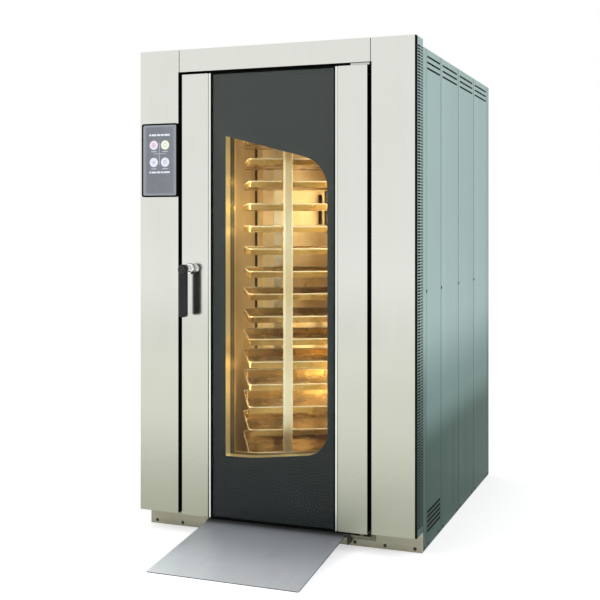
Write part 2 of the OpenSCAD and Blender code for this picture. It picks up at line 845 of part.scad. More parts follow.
module fan_impeller() {
    hub_r = 34;
    eye_r = 110;
    back_y = fan_y + fan_w;
    color("#9aa0a0") from_front() {
        bar_y(fan_shaft_r, 0, fan_z, [fan_y + 30, motor_y + motor_bore - 4]);
        bar_y(hub_r, 0, fan_z, [fan_y + 36, back_y + 10]);
        bar_y(fan_r, 0, fan_z, [back_y - 4, back_y]);
        difference() {
            bar_y(fan_r, 0, fan_z, [fan_y, fan_y + 4]);
            bar_y(eye_r + 20, 0, fan_z, [fan_y - cut, fan_y + 4 + cut]);
        }
        // Blades, leaning back from the direction of turning
        translate([0, 0, fan_z]) for (i = [0 : fan_blades - 1])
            rotate([0, i * 360 / fan_blades, 0]) translate([eye_r, 0, 0]) rotate([0, 30, 0])
                block([0, fan_r - eye_r], [fan_y + 2, back_y - 2], [-1.5, 1.5]);
    }
}

module lamp_housings() {
    color("#8d8a80") from_front() both_sides() for (z = lamp_heights) difference() {
        block([lamp_x[0], lamp_x[1]], [frame_d + liner, frame_d + liner + 26], [z - 110, z + 110]);
        block([lamp_x[0] + 6, lamp_x[1] - 6], [frame_d + liner + 3, frame_d + 2 * liner + 26],
            [z - 104, z + 104]);
    }
}

module lamp_glasses() {
    color("#fff2c4") from_front() both_sides() for (z = lamp_heights)
        block([lamp_x[0] + 6, lamp_x[1] - 6], [frame_d + liner + 18, frame_d + liner + 24],
            [z - 104, z + 104]);
}

// ---- turntable and roof drive: fixed pieces ----

module turntable_bearing() {
    color("#70787a") difference() {
        union() {
            bar_z(70, 0, 0, [sheet, sheet + 8]);
            bar_z(45, 0, 0, [sheet, hub_z]);
        }
        bar_z(15 + run_gap, 0, 0, [sheet + 4, hub_z + cut]);
    }
}

module drive_bearing() {
    color("#70787a") {
        difference() {
            union() {
                bar_z(80, 0, 0, [roof_z, roof_z + 10]);
                bar_z(50, 0, 0, [roof_z, roof_z + bearing_h]);
            }
            bar_z(shaft_r + run_gap, 0, 0, [roof_z - cut, roof_z + bearing_h + cut]);
        }
        for (a = [45 : 90 : 315]) rotate([0, 0, a]) bar_z(7, 65, 0, [roof_z + 10, roof_z + 16]);
    }
}

module gear_motor() {
    y0 = centre_d - gearbox_w / 2;
    y1 = centre_d + gearbox_w / 2;
    color("#3f6f9a") difference() {
        union() {
            block([-90, 90], [y0, y1 + 40], [roof_z, roof_z + 6]);
            block([-gearbox_w / 2, gearbox_w / 2], [y0, y1], [roof_z, gearbox_top - 4]);
            bar_z(30, 0, centre_d, [roof_z, gearbox_top]);
            bar_y(42, 0, motor_axis_z, [y1 - 5, y1 + 200]);
            bar_y(48, 0, motor_axis_z, [y1 - 5, y1 + 10]);
            for (i = [0 : 7]) bar_y(47, 0, motor_axis_z, [y1 + 24 + i * 16, y1 + 30 + i * 16]);
            bar_y(47, 0, motor_axis_z, [y1 + 160, y1 + 200]);
            block([35, 78], [y1 + 40, y1 + 120], [motor_axis_z - 30, motor_axis_z + 30]);
        }
        bar_z(pinion_shaft_r + run_gap, 0, centre_d, [roof_z + 20, gearbox_top + cut]);
    }
}

// Outline of a gear with straight-flanked teeth, thinned for backlash
module gear_outline(teeth) {
    pitch_r = gear_module * teeth / 2;
    tip = pitch_r + 0.9 * gear_module;
    root = pitch_r - 1.2 * gear_module;
    quarter = 90 / teeth;
    polygon([
        for (i = [0 : teeth - 1], k = [[root, -1.25], [tip, -0.45], [tip, 0.45], [root, 1.25]])
            k[0] * [cos(i * 360 / teeth + k[1] * quarter), sin(i * 360 / teeth + k[1] * quarter)]
    ]);
}

module drive_gear() {
    lug = 14;
    color("#8c8f8e") {
        difference() {
            translate([0, 0, gear_z]) rotate([0, 0, 90]) linear_extrude(gear_w) gear_outline(gear_teeth);
            // Lightening holes
            for (i = [0 : 5]) rotate([0, 0, 30 + i * 60])
                bar_z(22, 72, 0, [gear_z - cut, gear_z + gear_w + cut]);
        }
        bar_z(38, 0, 0, [roof_z + bearing_h + face_gap, gear_z + gear_w + 4]);
        bar_z(shaft_r, 0, 0, [yoke_z, gear_z + gear_w + 12]);
        bar_z(34, 0, 0, [yoke_z, yoke_z + 40]);
        // Yoke that straddles the trolley's drive bar
        on_trolley() for (s = [-1, 1])
            translate([s * (bar_t / 2 + 0.5 + lug / 2), 0, yoke_z - 28 + 20])
                cube([lug, 50, 56], center = true);
    }
}

module drive_pinion() {
    color("#8c8f8e") {
        translate([0, centre_d, gear_z + 1]) rotate([0, 0, 270 - 180 / pinion_teeth])
            linear_extrude(gear_w - 2) gear_outline(pinion_teeth);
        bar_z(pinion_shaft_r + 6, 0, centre_d, [gearbox_top + face_gap, gear_z + gear_w + 2]);
        bar_z(pinion_shaft_r, 0, centre_d, [roof_z + 24, gear_z + gear_w + 6]);
    }
}

// ---- services ----

module exhaust_flue() {
    color("#b8bcb9") translate([-flue_x, flue_y, 0]) difference() {
        union() {
            bar_z(flue_pipe_r, 0, 0, [ceiling_z + liner, roof_z + flue_h - spigot_l]);
            bar_z(flue_r, 0, 0, [roof_z, roof_z + flue_h]);
            bar_z(flue_r + 25, 0, 0, [roof_z, roof_z + 3]);
            bar_x(11, 0, flap_z, [-flue_r - 8, flue_r + 8]);
        }
        bar_z(flue_r - flue_t, 0, 0, [ceiling_z, roof_z + flue_h + cut]);
        bar_x(flap_axle_r + run_gap, 0, flap_z, [-flue_r - 8 - cut, flue_r + 8 + cut]);
    }
}

module damper_flap() {
    lever_x = flue_r + 8 + face_gap;
    color("#c48a3a") translate([-flue_x, flue_y, 0]) {
        bar_z(flue_r - flue_t - 2.5, 0, 0, [flap_z - 1, flap_z + 1]);
        bar_x(flap_axle_r, 0, flap_z, [-lever_x - 6, lever_x + 6]);
        bar_x(flap_axle_r + 1.5, 0, flap_z, [-flue_r + 16, flue_r - 16]);
        bar_x(flap_axle_r + 4, 0, flap_z, [-lever_x - 6, -lever_x]);
        // Lever and knob at the right, level with the flap
        block([lever_x, lever_x + 6], [-70, 8], [flap_z - 8, flap_z + 8]);
        bar_x(9, -62, flap_z, [lever_x, lever_x + 30]);
    }
}

module control_housing() {
    x0 = -half_w + panel_x;
    corner_r = 10;
    color("#1b1c1d") from_front() difference() {
        translate([x0 + panel_w / 2, 0, panel_z + panel_h / 2]) rotate([90, 0, 0])
            linear_extrude(panel_t) rounded_rect(panel_w, panel_h, corner_r);
        translate([x0 + panel_w / 2, -panel_t + 3, panel_z + panel_h / 2]) rotate([90, 0, 0])
            linear_extrude(3 + cut) rounded_rect(panel_w - 2 * panel_rim, panel_h - 2 * panel_rim, 6);
    }
}

module control_screen() {
    x0 = -half_w + panel_x;
    color("#6f7a80") from_front()
        translate([x0 + panel_w / 2, -panel_t + 3, panel_z + panel_h / 2]) rotate([90, 0, 0])
            linear_extrude(2) rounded_rect(panel_w - 2 * panel_rim - 0.6, panel_h - 2 * panel_rim - 0.6, 5.7);
}

module water_inlet() {
    pipe_r = 8;
    color("#b0793c") from_front() {
        bar_y(pipe_r, -inlet_x, inlet_z, [plenum_y - 30, case_d + 6]);
        bar_y(inlet_r + 8, -inlet_x, inlet_z, [case_d, case_d + 6]);
        bar_y(inlet_r, -inlet_x, inlet_z, [case_d, case_d + 26]);
        // Valve body in the machine space and spray nozzle in the plenum
        block([-inlet_x - 24, -inlet_x + 24], [machine_y + machine_d / 3, machine_y + machine_d * 0.6],
            [inlet_z - 24, inlet_z + 60]);
        bar_y(13, -inlet_x, inlet_z, [plenum_y - 44, plenum_y - 30]);
    }
}

module cable_gland() {
    color("#2b2d2f") from_front() difference() {
        union() {
            bar_y(inlet_r, inlet_x, inlet_z, [case_d - 20, case_d + 10]);
            translate([inlet_x, case_d + 8, inlet_z]) rotate([-90, 0, 0]) cylinder(r = 20, h = 8, $fn = 6);
            bar_y(16, inlet_x, inlet_z, [case_d, case_d + 34]);
        }
        bar_y(9, inlet_x, inlet_z, [case_d - 20 - cut, case_d + 34 + cut]);
    }
}

// ---- door fittings on the case ----

module hinge_brackets() {
    plate_x = [pivot_x - 45, pivot_x + 38];
    color("#9b9f9c") from_front() {
        // Upper plate under the header, with its pin
        block(plate_x, [8, seat_y - 5], [open_top - door_top_gap + 2, open_top]);
        bar_z(hinge_pin_r, pivot_x, hinge_y, [door_top - bush_l + 4, open_top - 2]);
        // Lower bracket on the plinth, with its pin and thrust washer
        block(plate_x, [hinge_y - 20, plinth_back], [bracket_z, bracket_z + bracket_t]);
        block(plate_x, [plinth_back - sheet, plinth_back], [bracket_z - 36, bracket_z + bracket_t]);
        bar_z(hinge_pin_r + 8, pivot_x, hinge_y, [bracket_z + 1, door_z - face_gap]);
        bar_z(hinge_pin_r, pivot_x, hinge_y, [bracket_z + 1, door_z + bush_l - 4]);
    }
}

module latch_keeper() {
    color("#9b9f9c") from_front()
        block([-open_hw, spindle_x - cam_l + 8], [cam_y - 19, cam_y - 1], [handle_z - 26, handle_z + 26]);
}

module ramp_hinge() {
    color("#4b4f4e") from_front() {
        bar_x(ramp_rod_r, ramp_y, ramp_axis_z, [-ramp_hw - 4 - lug_t, ramp_hw + 4 + lug_t]);
        both_sides() block([ramp_hw + 4, ramp_hw + 4 + lug_t], [ramp_y - 10, plinth_back],
            [ramp_axis_z - 34, base_h]);
    }
}

module ramp_plate() {
    knuckles = [[-ramp_hw + 7, -ramp_hw + 67], [-60, 60], [ramp_hw - 67, ramp_hw - 7]];
    color("#a3abb0") from_front() translate([0, ramp_y, ramp_axis_z]) rotate([ramp_angle, 0, 0])
        difference() {
            union() {
                block([-ramp_hw, ramp_hw], [-ramp_l, 5], [ramp_lift, ramp_lift + ramp_t]);
                for (k = knuckles) bar_x(knuckle_r, 0, 0, k);
            }
            bar_x(ramp_rod_r + run_gap, 0, 0, [-ramp_hw - cut, ramp_hw + cut]);
        }
}

// ---- door ----

module door_shell() {
    color("#d6d7cf") from_front() difference() {
        union() {
            difference() {
                block([-door_hw, door_hw], [0, door_t], [door_z, door_top]);
                // Recess of the glass panel
                block([-recess_hw, recess_hw], [-cut, glass_recess], [door_z - cut, door_top + cut]);
                // Inside of the folded shell and of its two stiles
                block([-door_hw + sheet, door_hw - sheet], [glass_recess + sheet, door_t - sheet],
                    [door_z + sheet, door_top - sheet]);
                both_sides() block([recess_hw + sheet, door_hw - sheet], [sheet, door_t - sheet],
                    [door_z + sheet, door_top - sheet]);
            }
            // Bushes of the hinge pins and of the handle spindle
            bar_z(bush_r, pivot_x, hinge_y, [door_z + sheet / 2, door_z + bush_l]);
            bar_z(bush_r, pivot_x, hinge_y, [door_top - bush_l, door_top - sheet / 2]);
            bar_y(bush_r, spindle_x, handle_z, [sheet / 2, door_t - sheet / 2]);
        }
        bar_z(hinge_pin_r + run_gap, pivot_x, hinge_y, [door_z - cut, door_z + bush_l + cut]);
        bar_z(hinge_pin_r + run_gap, pivot_x, hinge_y, [door_top - bush_l - cut, door_top + cut]);
        bar_y(spindle_r + run_gap, spindle_x, handle_z, [-cut, door_t + cut]);
        front_plate(glass_recess - cut, door_t - glass_recess + 2 * cut) window_shape(liner);
    }
}

module door_glass() {
    color("#5b6664") from_front()
        block([-glass_hw, glass_hw], [glass_y, glass_y + glass_t], [door_z + glass_edge, door_top - glass_edge]);
}

// Dark print on the back of the outer glass, clear at the window
module glass_mask() {
    color("#3b4241") from_front() front_plate(glass_recess - mask_t, mask_t) difference() {
        translate([-glass_hw, door_z + glass_edge])
            square([2 * glass_hw, door_top - door_z - 2 * glass_edge]);
        window_shape(0);
    }
}

module glass_trims() {
    color("#e4e6e2") from_front() both_sides()
        block([trim_in, trim_out], [0.5, glass_recess], [door_z, door_top]);
}

module window_reveal() {
    color("#d9b25c") from_front()
        for (y = [[glass_recess, door_t], [door_t, plug_y]])
            front_plate(y[0], y[1] - y[0] - (y[0] == door_t ? 0 : 0.2)) difference() {
                window_shape(liner);
                window_shape(0);
            }
}

module inner_glass() {
    color("#a9b7b2") from_front() front_plate(plug_y, inner_glass_t) window_shape(glass_margin);
}

module door_plug() {
    clip_y = plug_y + inner_glass_t;
    clip_w = 30;
    clip_out = glass_margin + 12;
    color("#b99a55") from_front() difference() {
        union() {
            difference() {
                block([-plug_hw, plug_hw], [door_t, plug_y], [plug_z, plug_top]);
                block([-plug_hw + liner, plug_hw - liner], [door_t - cut, plug_y - liner],
                    [plug_z + liner, plug_top - liner]);
            }
            // Clips over the left and right edge of the inner glass
            for (z = [clip_z0 : (clip_z1 - clip_z0) / 3 : clip_z1 + cut]) {
                block([window_left - clip_out, window_left - 4], [plug_y - liner / 2, clip_y + 2],
                    [z - clip_w / 2, z + clip_w / 2]);
                block([window_right + 4, window_right + clip_out], [plug_y - liner / 2, clip_y + 2],
                    [z - clip_w / 2, z + clip_w / 2]);
            }
        }
        front_plate(door_t, plug_d + cut) window_shape(liner);
        front_plate(plug_y, inner_glass_t) window_shape(glass_margin);
    }
}

module door_insulation() {
    color("#c8b98a") from_front() {
        front_plate(glass_recess + sheet, door_t - glass_recess - 2 * sheet) difference() {
            translate([-pivot_x + 30, door_z + sheet])
                square([2 * pivot_x - 60, door_top - door_z - 2 * sheet]);
            window_shape(liner);
        }
        front_plate(door_t, plug_d - liner) difference() {
            translate([-plug_hw + liner, plug_z + liner])
                square([2 * (plug_hw - liner), plug_top - plug_z - 2 * liner]);
            window_shape(liner);
        }
    }
}

module door_gasket() {
    seat_gap = 3;
    x = seat_hw + seat_gap;
    z = seat_top + seat_gap;
    color("#1c1c1c") from_front() {
        // Round the seat, open at the threshold
        both_sides() block([x, x + gasket_w], [door_t, seat_y - face_gap], [door_z, z + gasket_w]);
        block([-x, x], [door_t, seat_y - face_gap], [z, z + gasket_w]);
        // Sweep under the plug
        block([-plug_hw, plug_hw], [door_t + 24, door_t + 34], [floor_z + 1, plug_z]);
        // Seals round the outer glass
        both_sides() block([glass_hw, trim_in], [2, glass_recess], [door_z, door_top]);
        for (e = [[door_z, door_z + glass_edge], [door_top - glass_edge, door_top]])
            block([-glass_hw, glass_hw], [glass_y, glass_recess], e);
    }
}

// ---- handle ----

module handle_hub() {
    color("#c9cdd0") from_front() {
        bar_y(24, spindle_x, handle_z, [-7, -face_gap]);
        bar_y(15, spindle_x, handle_z, [-grip_reach + grip_t / 2, -7]);
        bar_y(19, spindle_x, handle_z, [-grip_reach + grip_t / 2, -grip_reach + grip_t / 2 + 9]);
        bar_y(spindle_r, spindle_x, handle_z, [-10, cam_y + cam_t]);
    }
}

// The grip hangs from the hub: a flat bar with rounded edges and ends, and a round cap in front
module handle_grip() {
    edge = 9;
    end_r = 15;
    middle = handle_z + grip_w / 2 + 1 - grip_l / 2;
    color("#161718") from_front() translate([spindle_x, -grip_reach, 0]) {
        intersection() {
            translate([0, 0, middle - grip_l / 2]) linear_extrude(grip_l)
                rounded_rect(grip_w, grip_t, edge);
            translate([0, 0, middle]) front_plate(-grip_t / 2, grip_t)
                rounded_rect(grip_w, grip_l, end_r);
        }
        bar_y(17, 0, handle_z, [-grip_t / 2 - 6, -grip_t / 2 + 1]);
    }
}

module latch_cam() {
    color("#9b9f9c") from_front() difference() {
        union() {
            bar_y(cam_w / 2 + 1, spindle_x, handle_z, [cam_y - 1, cam_y + cam_t]);
            block([spindle_x - cam_w / 2, spindle_x + cam_w / 2], [cam_y, cam_y + cam_t],
                [handle_z, handle_z + cam_l]);
        }
        bar_y(spindle_r, spindle_x, handle_z, [cam_y - 2, cam_y + cam_t + cut]);
    }
}

// ---- turning pieces in the chamber ----

module turntable() {
    color("#b9ab86") {
        bar_z(table_r, 0, 0, [table_z, table_top]);
        bar_z(40, 0, 0, [hub_z + face_gap, table_z]);
        bar_z(15, 0, 0, [sheet + 8, table_z]);
    }
}

// Square tube with open ends, along X or Y of the trolley
module tube_x(x, y, z) {
    difference() {
        block(x, [y, y + tube_w], [z, z + tube_w]);
        block([x[0] - cut, x[1] + cut], [y + 2, y + tube_w - 2], [z + 2, z + tube_w - 2]);
    }
}

module castor_fork_legs() {
    for (s = [-1, 1])
        block([-trail - 15, -trail + 15], s > 0 ? [wheel_w / 2 + 2, wheel_w / 2 + 5]
            : [-wheel_w / 2 - 5, -wheel_w / 2 - 2], [axle_z - 12, fork_top + 1]);
    block([-trail - 15, 22], [-wheel_w / 2 - 5, wheel_w / 2 + 5], [fork_top, fork_top + 3]);
    translate([-trail, 0, axle_z]) rotate([90, 0, 0])
        cylinder(r = axle_r, h = wheel_w + 14, center = true);
    translate([0, 0, fork_top]) cylinder(r = 26, h = crown_t);
}

module rack_frame() {
    long_half = castor_x + 60;
    brace = post_x - post_w / 2;
    color("#d2ac58") on_trolley() difference() {
        union() {
            for (s = [-1, 1]) {
                tube_x([-long_half, long_half], s > 0 ? post_y : -post_y - tube_w, rail_z);
                tube_x([-brace - post_w, brace + post_w], s > 0 ? post_y : -post_y - tube_w, rack_top);
                // Cross members: two at the foot, two and the drive beam at the top
                block([s * castor_x - 15, s * castor_x + 15], [-post_y - 1, post_y + 1],
                    [rail_z, rail_z + tube_w]);
                block([s * post_x - 12, s * post_x + 12], [-post_y - 1, post_y + 1],
                    [rack_top, rack_top + tube_w]);
                // Angle posts
                for (t = [-1, 1]) scale([s, t, 1]) {
                    block([post_x - post_w / 2, post_x + post_w / 2], [post_y, post_y + 3],
                        [rail_z + tube_w - 1, rack_top + 1]);
                    block([post_x - post_w / 2, post_x - post_w / 2 + 3], [post_y, post_y + tube_w],
                        [rail_z + tube_w - 1, rack_top + 1]);
                }
            }
            block([-15, 15], [-post_y - 1, post_y + 1], [rack_top, rack_top + tube_w]);
            block([-bar_t / 2, bar_t / 2], [-55, 55], [rack_top + tube_w - 1, rack_top + bar_h]);
            for (c = castors)
                block([c.x - 45, c.x + 45], c.y > 0 ? [c.y - 40, post_y + tube_w] : [-post_y - tube_w, c.y + 40],
                    [rack_z, rail_z + 1]);
            // Two fixed castors at the far end
            for (i = [2, 3]) translate(castors[i]) {
                castor_fork_legs();
                translate([0, 0, fork_top]) cylinder(r = 20, h = rack_z - fork_top + 1);
            }
        }
        for (i = [0, 1]) translate([castors[i].x, castors[i].y, rack_z - cut])
            cylinder(r = kingpin_r + run_gap, h = castor_plate + cut);
    }
}

module tray_runners() {
    end = tray_l / 2 - 5;
    color("#d2ac58") on_trolley() for (i = [0 : trays_n - 1], s = [0, 1]) mirror([0, s, 0]) {
        z = tray_z + i * tray_pitch;
        block([-end, end], [runner_y - 21, runner_y + 0.5], [z - runner_t, z]);
        block([-end, end], [runner_y, post_y], [z - runner_t, z + 18]);
    }
}

module trays() {
    color("#e0bd66") on_trolley() for (i = [0 : trays_n - 1])
        translate([0, 0, tray_z + i * tray_pitch]) difference() {
            linear_extrude(tray_h) rounded_rect(tray_l, tray_w, tray_r);
            translate([0, 0, tray_t]) linear_extrude(tray_h)
                rounded_rect(tray_l - 2 * tray_t, tray_w - 2 * tray_t, tray_r - tray_t);
        }
}

module castor_fork(i) {
    color("#9aa0a0") on_trolley() translate(castors[i - 1]) {
        castor_fork_legs();
        translate([0, 0, fork_top]) cylinder(r = kingpin_r, h = crown_t + castor_plate - 0.3);
    }
}

module castor_wheel(i) {
    color("#2a2a2a") on_trolley() translate(castors[i - 1])
        translate([-trail, 0, axle_z]) rotate([90, 0, 0]) rotate_extrude() polygon([
            [axle_r + run_gap, -wheel_w / 2], [wheel_r - 6, -wheel_w / 2], [wheel_r, -wheel_w / 2 + 6],
            [wheel_r, wheel_w / 2 - 6], [wheel_r - 6, wheel_w / 2], [axle_r + run_gap, wheel_w / 2]
        ]);
}

base_frame();
plinth();
front_frame();
front_covers();
vent_strips();
corner_strips();
side_panels_left();
side_panels_right();
rear_panels();
roof_panel();
case_screws();
door_jamb();
chamber_walls();
chamber_ceiling();
chamber_floor();
fan_baffle();
rear_walls();
insulation();
heater_bank();
fan_motor();
lamp_housings();
lamp_glasses();
turntable_bearing();
drive_bearing();
gear_motor();
exhaust_flue();
control_housing();
control_screen();
hinge_brackets();
latch_keeper();
water_inlet();
cable_gland();
ramp_hinge();
door_shell();
door_glass();
glass_mask();
glass_trims();
window_reveal();
inner_glass();
door_plug();
door_insulation();
door_gasket();
handle_hub();
handle_grip();
latch_cam();
turntable();
rack_frame();
tray_runners();
trays();
drive_gear();
drive_pinion();
fan_impeller();
ramp_plate();
damper_flap();
castor_fork(1);  // castor_fork_1
castor_fork(2);  // castor_fork_2
castor_wheel(1);  // castor_wheel_1
castor_wheel(2);  // castor_wheel_2
castor_wheel(3);  // castor_wheel_3
castor_wheel(4);  // castor_wheel_4
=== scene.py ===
import math

import bmesh
import bpy
from mathutils import Matrix, Vector


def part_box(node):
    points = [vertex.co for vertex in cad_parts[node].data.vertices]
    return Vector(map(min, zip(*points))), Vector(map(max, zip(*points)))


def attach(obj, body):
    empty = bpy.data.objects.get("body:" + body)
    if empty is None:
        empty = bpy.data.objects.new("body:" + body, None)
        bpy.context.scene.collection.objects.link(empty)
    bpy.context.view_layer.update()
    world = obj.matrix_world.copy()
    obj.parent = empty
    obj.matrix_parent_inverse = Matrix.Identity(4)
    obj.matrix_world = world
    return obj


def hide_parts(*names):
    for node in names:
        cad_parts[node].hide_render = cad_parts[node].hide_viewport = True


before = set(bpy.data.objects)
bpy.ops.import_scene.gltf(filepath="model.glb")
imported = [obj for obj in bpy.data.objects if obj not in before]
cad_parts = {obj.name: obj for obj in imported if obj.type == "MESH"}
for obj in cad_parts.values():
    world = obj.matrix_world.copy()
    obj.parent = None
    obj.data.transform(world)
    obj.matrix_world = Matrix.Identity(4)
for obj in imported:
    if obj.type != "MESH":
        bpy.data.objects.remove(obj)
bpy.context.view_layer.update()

scene = bpy.context.scene
scene.view_settings.view_transform = "Standard"


# ---- Studio ----
# The oven stands on a plain white floor in soft, even light. The camera stands right of the door
# at about chest height, looks level and has its lens shifted down, as in the photograph.

camera_data = bpy.data.cameras.new("studio_camera")
camera_data.sensor_width = 36
camera_data.lens = 62.78
camera_data.shift_y = -0.1295
camera = bpy.data.objects.new("studio_camera", camera_data)
camera.location = (1.719, -4.762, 1.382)
camera.rotation_euler = (math.radians(90), 0, math.radians(20.88))
scene.collection.objects.link(camera)
scene.camera = camera


def feed(tree, socket, value):
    """Links another socket to this one, or writes a plain value in it."""
    if isinstance(value, bpy.types.NodeSocket):
        tree.links.new(value, socket)
    else:
        socket.default_value = value


def math_node(tree, operation, *values):
    """One Math node over sockets and numbers."""
    node = tree.nodes.new("ShaderNodeMath")
    node.operation = operation
    for socket, value in zip(node.inputs, values):
        feed(tree, socket, value)
    return node.outputs[0]


def scaled(tree, socket, low, high, start=0.0, end=1.0, smooth=False):
    """The socket's span from start to end, stretched to low to high."""
    stretch = tree.nodes.new("ShaderNodeMapRange")
    if smooth:
        stretch.interpolation_type = "SMOOTHSTEP"
    spans = {"Value": socket, "From Min": start, "From Max": end, "To Min": low, "To Max": high}
    for label, value in spans.items():
        feed(tree, stretch.inputs[label], value)
    return stretch.outputs[0]


def background_rays(tree):
    """A socket that is 1 for rays that show the background: seen, mirrored or through glass."""
    path = tree.nodes.new("ShaderNodeLightPath")
    seen = math_node(tree, "MAXIMUM", path.outputs["Is Camera Ray"], path.outputs["Is Glossy Ray"])
    return math_node(tree, "MAXIMUM", seen, path.outputs["Is Transmission Ray"])


world = bpy.data.worlds.new("white_studio")
world.use_nodes = True
sky = world.node_tree.nodes["Background"]
sky.inputs["Color"].default_value = (1, 1, 1, 1)
sky_strength = scaled(world.node_tree, background_rays(world.node_tree), 0.62, 1.0)
world.node_tree.links.new(sky_strength, sky.inputs["Strength"])
scene.world = world

floor_half = 40
floor_mesh = bpy.data.meshes.new("studio_floor")
floor_mesh.from_pydata(
    [(x * floor_half, y * floor_half, -0.0005) for x, y in [(-1, -1), (1, -1), (1, 1), (-1, 1)]],
    [],
    [(0, 1, 2, 3)],
)
studio_floor = bpy.data.objects.new("studio_floor", floor_mesh)
scene.collection.objects.link(studio_floor)
floor_paint = bpy.data.materials.new("floor_paint")
floor_paint.use_nodes = True
floor_shader = floor_paint.node_tree.nodes["Principled BSDF"]
floor_shader.inputs["Base Color"].default_value = (0.84, 0.84, 0.84, 1)
floor_shader.inputs["Roughness"].default_value = 0.9
floor_shader.inputs["Specular IOR Level"].default_value = 0
floor_shader.inputs["Emission Color"].default_value = (1, 1, 1, 1)
floor_glow = scaled(floor_paint.node_tree, background_rays(floor_paint.node_tree), 0.0, 0.52)
floor_paint.node_tree.links.new(floor_glow, floor_shader.inputs["Emission Strength"])
floor_mesh.materials.append(floor_paint)


def soft_box(name, place, target, size, watts, colour):
    """A rectangular lamp at place that faces target and doesn't show in mirrors."""
    data = bpy.data.lights.new(name, "AREA")
    data.shape = "RECTANGLE"
    data.size, data.size_y = size
    data.energy = watts
    data.color = colour
    lamp = bpy.data.objects.new(name, data)
    lamp.location = place
    lamp.rotation_euler = (Vector(target) - Vector(place)).to_track_quat("-Z", "Y").to_euler()
    lamp.visible_camera = False
    lamp.visible_glossy = False
    scene.collection.objects.link(lamp)
    return lamp


soft_box("key_light", (-3.6, -5.2, 4.4), (0, 0, 1.0), (3.2, 3.2), 150, (1.0, 0.99, 0.97))
soft_box("fill_light", (4.5, -1.5, 3.2), (0.4, 0.2, 1.0), (2.5, 3.0), 60, (0.96, 0.98, 1.0))


# ---- Base frame and plinth ----
# The base is welded from angle and flat steel and painted black. The plinth is folded from 3 mm
# stainless sheet, stands behind the pillar fronts and is screwed to the base.

def new_group(name, inputs, outputs):
    """A shader node group with named sockets: {name: default} going in, {name: type} coming out."""
    group = bpy.data.node_groups.new(name, "ShaderNodeTree")
    for label, value in inputs.items():
        kind = "NodeSocketFloat"
        if isinstance(value, tuple):
            kind = "NodeSocketColor" if len(value) == 4 else "NodeSocketVector"
        socket = group.interface.new_socket(name=label, in_out="INPUT", socket_type=kind)
        socket.default_value = value
    for label, kind in outputs.items():
        group.interface.new_socket(name=label, in_out="OUTPUT", socket_type=kind)
    return group, group.nodes.new("NodeGroupInput"), group.nodes.new("NodeGroupOutput")


def mix_colours(tree, factor, first, second):
    """Mixes two colours, each a socket or a written colour, by a factor socket."""
    mix = tree.nodes.new("ShaderNodeMix")
    mix.data_type = "RGBA"
    tree.links.new(factor, mix.inputs["Factor"])
    feed(tree, mix.inputs[6], first)
    feed(tree, mix.inputs[7], second)
    return mix.outputs[2]


def stretched_noise(tree, stretch, detail):
    """Noise over the piece's own coordinates, pulled long where stretch is small."""
    place = tree.nodes.new("ShaderNodeTexCoord")
    pull = tree.nodes.new("ShaderNodeVectorMath")
    pull.operation = "MULTIPLY"
    tree.links.new(place.outputs["Object"], pull.inputs[0])
    feed(tree, pull.inputs[1], stretch)
    noise = tree.nodes.new("ShaderNodeTexNoise")
    noise.inputs["Scale"].default_value = 1.0
    noise.inputs["Detail"].default_value = detail
    tree.links.new(pull.outputs[0], noise.inputs["Vector"])
    return noise.outputs["Fac"]


def along(tree, axis, kind="Object"):
    """One part of the piece's own coordinates, in metres, or of its normal."""
    place = tree.nodes.new("ShaderNodeTexCoord")
    split = tree.nodes.new("ShaderNodeSeparateXYZ")
    tree.links.new(place.outputs[kind], split.inputs[0])
    return split.outputs[axis]


# Painted reflection and shade of a tall sheet: its colour is painted lighter higher up and darker
# below, standing in for a bright room mirrored above and a darker floor and shade below
painted_height_shading, tone_in, tone_out = new_group(
    "painted_height_shading",
    {
        "Foot Colour": (0.3, 0.3, 0.3, 1),
        "Middle Colour": (0.5, 0.5, 0.5, 1),
        "Top Colour": (0.7, 0.7, 0.7, 1),
        "Foot Height": 0.1,
        "Middle Height": 0.6,
        "Top Height": 1.2,
    },
    {"Colour": "NodeSocketColor", "Foot Mask": "NodeSocketFloat"},
)
tone_z = along(painted_height_shading, "Z")
tone_foot, tone_middle, tone_top = [
    tone_in.outputs[part + " Height"] for part in ("Foot", "Middle", "Top")
]
lower_step = scaled(painted_height_shading, tone_z, 0.0, 1.0, tone_foot, tone_middle, smooth=True)
upper_step = scaled(painted_height_shading, tone_z, 0.0, 1.0, tone_middle, tone_top, smooth=True)
tone_low = mix_colours(
    painted_height_shading, lower_step, tone_in.outputs["Foot Colour"], tone_in.outputs["Middle Colour"]
)
tone_all = mix_colours(painted_height_shading, upper_step, tone_low, tone_in.outputs["Top Colour"])
painted_height_shading.links.new(tone_all, tone_out.inputs["Colour"])
painted_height_shading.links.new(scaled(painted_height_shading, lower_step, 1.0, 0.0), tone_out.inputs["Foot Mask"])

# Brushed grain: fine and broad streaks along the axis whose stretch is smallest
brushed_grain, grain_in, grain_out = new_group(
    "brushed_grain",
    {"Fine Stretch": (500.0, 500.0, 5.0), "Broad Stretch": (22.0, 22.0, 0.5), "Contrast": 0.1},
    {"Tone": "NodeSocketFloat", "Height": "NodeSocketFloat", "Roughness": "NodeSocketFloat"},
)
fine_streaks = stretched_noise(brushed_grain, grain_in.outputs["Fine Stretch"], 3)
broad_streaks = stretched_noise(brushed_grain, grain_in.outputs["Broad Stretch"], 2)
streak_sum = math_node(brushed_grain, "ADD", fine_streaks, broad_streaks)
streak_middle = math_node(brushed_grain, "SUBTRACT", streak_sum, 1.0)
streak_tone = math_node(
    brushed_grain, "MULTIPLY_ADD", streak_middle, grain_in.outputs["Contrast"], 1.0
)
brushed_grain.links.new(streak_tone, grain_out.inputs["Tone"])
brushed_grain.links.new(fine_streaks, grain_out.inputs["Height"])
brushed_grain.links.new(broad_streaks, grain_out.inputs["Roughness"])

